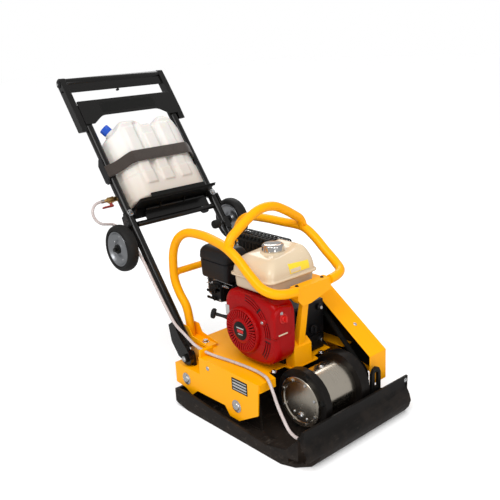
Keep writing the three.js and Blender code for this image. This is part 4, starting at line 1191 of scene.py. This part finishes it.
def carburettor():
    low, high = span("carburettor")
    y = low[1]
    body = [block((-252, -78, 318), (-214.5, -24, 388), 6, "y"),
            lathe([(0, -22), (20, -22), (22, -30), (22, -70), (18, -79), (0, -79)], (-238, 0, 340), "y", 36),
            lathe([(0, 312), (15, 312), (17, 316), (17, 334), (14, 340), (0, 340)], (-236, -50, 0), "z", 32),
            slab(roundRect(-262, -216, 318, 384, 6, 5), -83, -79.5, "y"),
            roundedBody(roundRect(-292, -254, -80, -30, 12, 6), *easedLevels(391, 346, 8, 5, False), "z"),
            lathe([(0, -26), (13, -26), (15, -30), (15, -76), (12, -80), (0, -80)], (-274, 0, 342), "y", 32)]
    piece("carburettor_body", body, "machine", darkCast, ("carburettor",), bevel=0.9)
    plate = [slab(roundRect(-261, -217, 320, 383, 7, 5), y, -83.2, "y"),
             slab(roundRect(-240, -218, 352, 362, 2, 3), y, y + 1.6, "y"),
             block((-258, -78, 384), (-216, -26, 391.5), 5)]
    piece("control_plate", plate, "machine", plastic, bevel=0.9)
    bits = each(domeBolt, [(-254, y, 376), (-221, y, 326)], (0, -1, 0), 3.6)
    bits += hexBolt((-236, -50, 312), (0, 0, -1), 5, False)
    screws = [(x, -80.5, z) for x, z in ((-284, 352), (-264, 352), (-284, 380), (-274, 334), (-252, 328))]
    bits += each(domeBolt, screws, (0, -1, 0), 2.8)
    bits += [tube([(-288, -83, 366), (-270, -86, 372), (-252, -84, 366), (-238, -86, 374)], 1.5,
                  (0, 1, 0), 10, 5)]
    rod = [tube([(-250, -86.5, 384), (-232, -88, 389), (-205, -84, 386), (-176, -74, 380)], 1.3,
                (0, 1, 0), 10, 5)]
    coil = np.linspace(0, 2 * np.pi * 9, 150)
    spring = np.stack([-214 + 26 * coil / coil[-1], -80 + 3.2 * np.cos(coil), 372 + 3.2 * np.sin(coil)], 1)
    rod.append(carried(circle(0.55, 8), spring, (1, 0.1, 0)))
    fuelPipe = [tube([(-206, -70, 407), (-214, -76, 398), (-226, -74, 380), (-232, -70, 362)], 4,
                     (0, 1, 0), 16, 4)]
    piece("linkage", bits + rod, "machine", zinc)
    piece("fuel_pipe", fuelPipe, "machine", rubber)
    for node, name in (("throttle_lever", "throttle_arm"), ("choke_lever", "choke_arm"),
                       ("fuel_lever", "fuel_tap_arm")):
        low, high = span(node)
        x, z = high[0] - 6, 0.5 * (low[2] + high[2])
        arm = rounded([(low[0], z - 4), (x - 4, z - 3), (x, z - 6), (x, z + 6), (x - 4, z + 3),
                       (low[0], z + 4)],
                      [3, 2, 2, 2, 2, 3], 5)
        shape = [slab(arm, low[1], low[1] + 3.6, "y"), drum((x, 0, z), "y", 6, low[1], high[1], 0.6, 28),
                 drum((low[0] + 4, low[1] + 1, z), (0, -1, 0), 3.4, -1, 1.0, 0.4, 20)]
        piece(name, shape, node, satin, (node,), 0.5)


def muffler():
    # a rolled box with a pressed guard: a plate with rows of slots stands over its top and far side
    low, high = span("muffler")
    outline = roundRect(72, 134, 408, 480, 18, 8)
    can = roundedBody(outline, *easedLevels(low[0] + 6, high[0] - 6, 7, 6), "x")
    pipe = block((-208, 84, 366.5), (-182, 108, 410), 4)
    piece("muffler_can", [can, pipe], "machine", satin, ("muffler",), bevel=0.6)
    side = [(66.0, 412), (66.0, 476), (74, high[2]), (132, high[2]), (high[1], 478), (high[1], 410)]
    inner = [(68.4, 412), (68.4, 475), (75, high[2] - 2.4), (131, high[2] - 2.4), (high[1] - 2.4, 477),
             (high[1] - 2.4, 410)]
    skin = np.concatenate([rounded(side, 8, 6, False), rounded(inner, 6, 6, False)[::-1]])
    shapes = [slab(skin, x, x + 6.5, "x") for x in np.linspace(low[0], high[0], 12)[:-1]]
    shapes.append(slab(skin, high[0] - 7, high[0], "x"))
    for z0, z1 in ((412, 418), (438, 444), (466, 474)):
        for y0, y1 in ((66.0, 68.4), (high[1] - 2.4, high[1])):
            shapes.append(block((low[0], y0, z0), (high[0], y1, z1)))
    for y0, y1 in ((76, 84), (100, 106), (122, 130)):
        shapes.append(block((low[0], y0, high[2] - 2.4), (high[0], y1, high[2])))
    piece("muffler_guard", shapes, "machine", satin, bevel=0.5)
    piece("exhaust_outlet", [collar(8, 11, 0, 20, (low[0] + 8, 92, 440), (-1, 0, 0), 32)], "machine", zinc)
    bolts = each(hexBolt, [(x, 103, high[2] - 0.8) for x in (low[0] + 16, high[0] - 16)], "z", 4.5, False)
    piece("muffler_bolts", bolts, "machine", zinc)


# base: sole with its lips, exciter, spray bar and lifting loop

exciter = {"tube": 72.0, "coverBoltsAt": 63.0, "coverBolts": 8, "flangeBoltsAt": 82.0, "flangeBolts": 6}


def basePlate():
    refined("base_plate", "machine", sole, 1.6, 3)
    beads, bolts = [], []
    for s in (-1, 1):
        path = np.array([(x, s * 158.8, 10.5) for x in np.linspace(-228, 14, 90)])
        ripple = 1 + 0.15 * np.sin(np.arange(90) * 1.7)
        beads.append(carried(circle(3.2, 10), path, (0, 0, 1), ripple))
        for x in (-261, -28):
            bolts += hexBolt((x, s * 149.5, 95 if x < -100 else 90), (0, -s, 0), 9)
    bolts += hexBolt((239.2, 214, 106), "x", 4.5)
    piece("sole_welds", beads, "machine", sole)
    piece("sole_bolts", bolts, "machine", zinc)


def exciterHousing():
    low, high = span("exciter_tube")
    x, _, z = 0.5 * (low + high)
    r = exciter["tube"]
    shell = lathe([(r - 8, low[1]), (r - 0.6, low[1]), (r, low[1] + 0.6), (r, high[1] - 0.6),
                   (r - 0.6, high[1]),
                   (r - 8, high[1]), (r - 8, low[1])], (x, 0, z), "y", 128)
    piece("exciter_shell", [shell], "machine", stainless, ("exciter_tube",))
    coverLow, coverHigh = span("exciter_cover")
    y0, y1 = coverLow[1], coverHigh[1]
    disc = lathe([(0, y0 + 2.2), (r - 14, y0 + 2.2), (r - 12.6, y0 + 1.2), (r - 11, y0), (r - 1.2, y0),
                  (r, y0 + 1.2),
                  (r, y1), (0, y1)], (x, 0, z), "y", 128)
    piece("exciter_end_cover", [disc], "machine", stainless, ("exciter_cover",))
    bolts = each(hexBolt, around((x, y0 + 0.1, z), exciter["coverBoltsAt"], exciter["coverBolts"], 0.5),
                 (0, -1, 0), 4.6, False)
    bolts += hexBolt((x + 2, y0 + 2.2, z - 40), (0, -1, 0), 7.5)
    bolts += each(domeBolt, [(x - 22, y0 + 2.2, z - 36), (x + 24, y0 + 2.2, z - 44)], (0, -1, 0), 4.5)
    bolts += hexBolt((x - 4, -20, z + r - 0.3), "z", 5.2)
    piece("exciter_bolts", bolts, "machine", zinc)
    bolts, faces = [], {}
    for side, s in bothSides:
        refined(f"exciter_flange_{side}", "machine", sole, 2.0, 3)
        faces[s] = span(f"exciter_flange_{side}")[s > 0][1]
    rings = [around((x, faces[s], z), exciter["flangeBoltsAt"], exciter["flangeBolts"], 0.25) for s in (-1, 1)]
    for near, far in zip(*rings):
        bolts += hexBolt(near, (0, -1, 0), 6.0) + hexBolt(far, (0, 1, 0), 6.0)
    bolts += each(hexBolt, [(x + across, faces[-1], 32) for across in (-72, 56)], (0, -1, 0), 7.5)
    piece("flange_bolts", bolts, "machine", satin)


def sprayBar():
    low, high = span("spray_bar")
    x, z = high[0] - 5, 0.5 * (low[2] + high[2])
    bar = tube([(x, low[1] + 1, z), (x, -60, z), (x, 60, z), (x, high[1] - 1, z)], 5, (0, 0, 1), 20)
    spigot = lathe([(0, low[0]), (4.3, low[0]), (4.4, low[0] + 2), (3.4, low[0] + 4), (4.4, low[0] + 5),
                    (4.4, x),
                    (0, x)], (0, -204, z), "x", 24)
    holders = [collar(5.3, 7.6, y, y + 9, (x, 0, z), "y", 24) for y in (-150, 0, 150)]
    piece("spray_pipe", [bar, spigot] + holders, "machine", satin, ("spray_bar",), bevel=0.3)


def liftLoop():
    refined("lift_loop", "machine", satin, 1.6, 3)


def pivots():
    for side, s in bothSides:
        refined(f"pivot_pin_{side}", "machine", satin, 0.9)
        y = span(f"pivot_pin_{side}")[s > 0][1]
        piece(f"pivot_nut_{side}", hexBolt((-269.6, y, 157), (0, s, 0), 6.0), "machine", zinc)


consoleShell()
beltGuard()
turningParts()
protectiveCage()
frontBracket()
print("console and cage made")
fanCover()
starterAndSwitch()
fuelTank()
tankLabel()
engineBlock()
airCleaner()
carburettor()
muffler()
print("engine made")
basePlate()
exciterHousing()
sprayBar()
liftLoop()
pivots()
print("base made")


# floor and light


def areaLight(name, place, target, size, power):
    data = bpy.data.lights.new(name, "AREA")
    data.shape, data.size, data.size_y, data.energy = "RECTANGLE", *size, power
    back = unit(np.array(place, float) - target)
    right = unit(np.cross((0, 0, 1), back))
    stand(linked(name, data), right, np.cross(back, right), back, place)


studioLight = {"air": 0.36, "mirrored": 0.42, "sun": 2.4, "key": 20.0, "front": 14.0, "back": 14.0}


def studio():
    world = bpy.data.worlds.new("studio")
    bpy.context.scene.world = world
    world.use_nodes = True
    tree = world.node_tree
    air = tree.nodes["Background"]
    air.inputs["Color"].default_value = (1.0, 1.0, 1.0, 1.0)
    # the backdrop is white; it lights the machine less than it shows, and mirrors in it less still
    seen = tree.nodes.new("ShaderNodeLightPath")
    level = studioLight["air"]
    for ray, strength in (("Is Glossy Ray", studioLight["mirrored"]), ("Is Camera Ray", 1.0)):
        choose = tree.nodes.new("ShaderNodeMix")
        tree.links.new(seen.outputs[ray], choose.inputs[0])
        if isinstance(level, float):
            choose.inputs[2].default_value = level
        else:
            tree.links.new(level, choose.inputs[2])
        choose.inputs[3].default_value = strength
        level = choose.outputs[0]
    tree.links.new(level, air.inputs["Strength"])
    ground = Finish("studio_floor", roughness=0.6, specular_ior_level=0.2, emission_color=(1, 1, 1),
                    emission_strength=0.1)
    ground.put("base_color", ground.mix(ground.noise(1.5), (0.92, 0.92, 0.92), (0.94, 0.94, 0.94)))
    mesh = makeMesh("floor", [slab(roundRect(-20000, 20000, -20000, 20000, 100), -20.5, -0.5, "z")], machine)
    mesh.materials.append(ground.material)
    floor = linked("floor", mesh)
    floor.visible_glossy = False
    middle = (-0.1, 0, 0.3)
    areaLight("key", (0.6, -1.9, 2.6), middle, (1.6, 1.2), studioLight["key"])
    areaLight("front", (2.6, -0.4, 1.3), middle, (1.4, 1.6), studioLight["front"])
    areaLight("back", (-1.8, 1.6, 2.2), middle, (1.6, 1.0), studioLight["back"])
    sky = bpy.data.lights.new("sky", "SUN")
    sky.energy, sky.angle = studioLight["sun"], math.radians(70)
    over = linked("sky", sky)
    over.rotation_euler = (math.radians(24), math.radians(14), 0)
    over.visible_glossy = False
    bpy.context.scene.view_settings.view_transform = "Standard"


studio()

print("scene made")
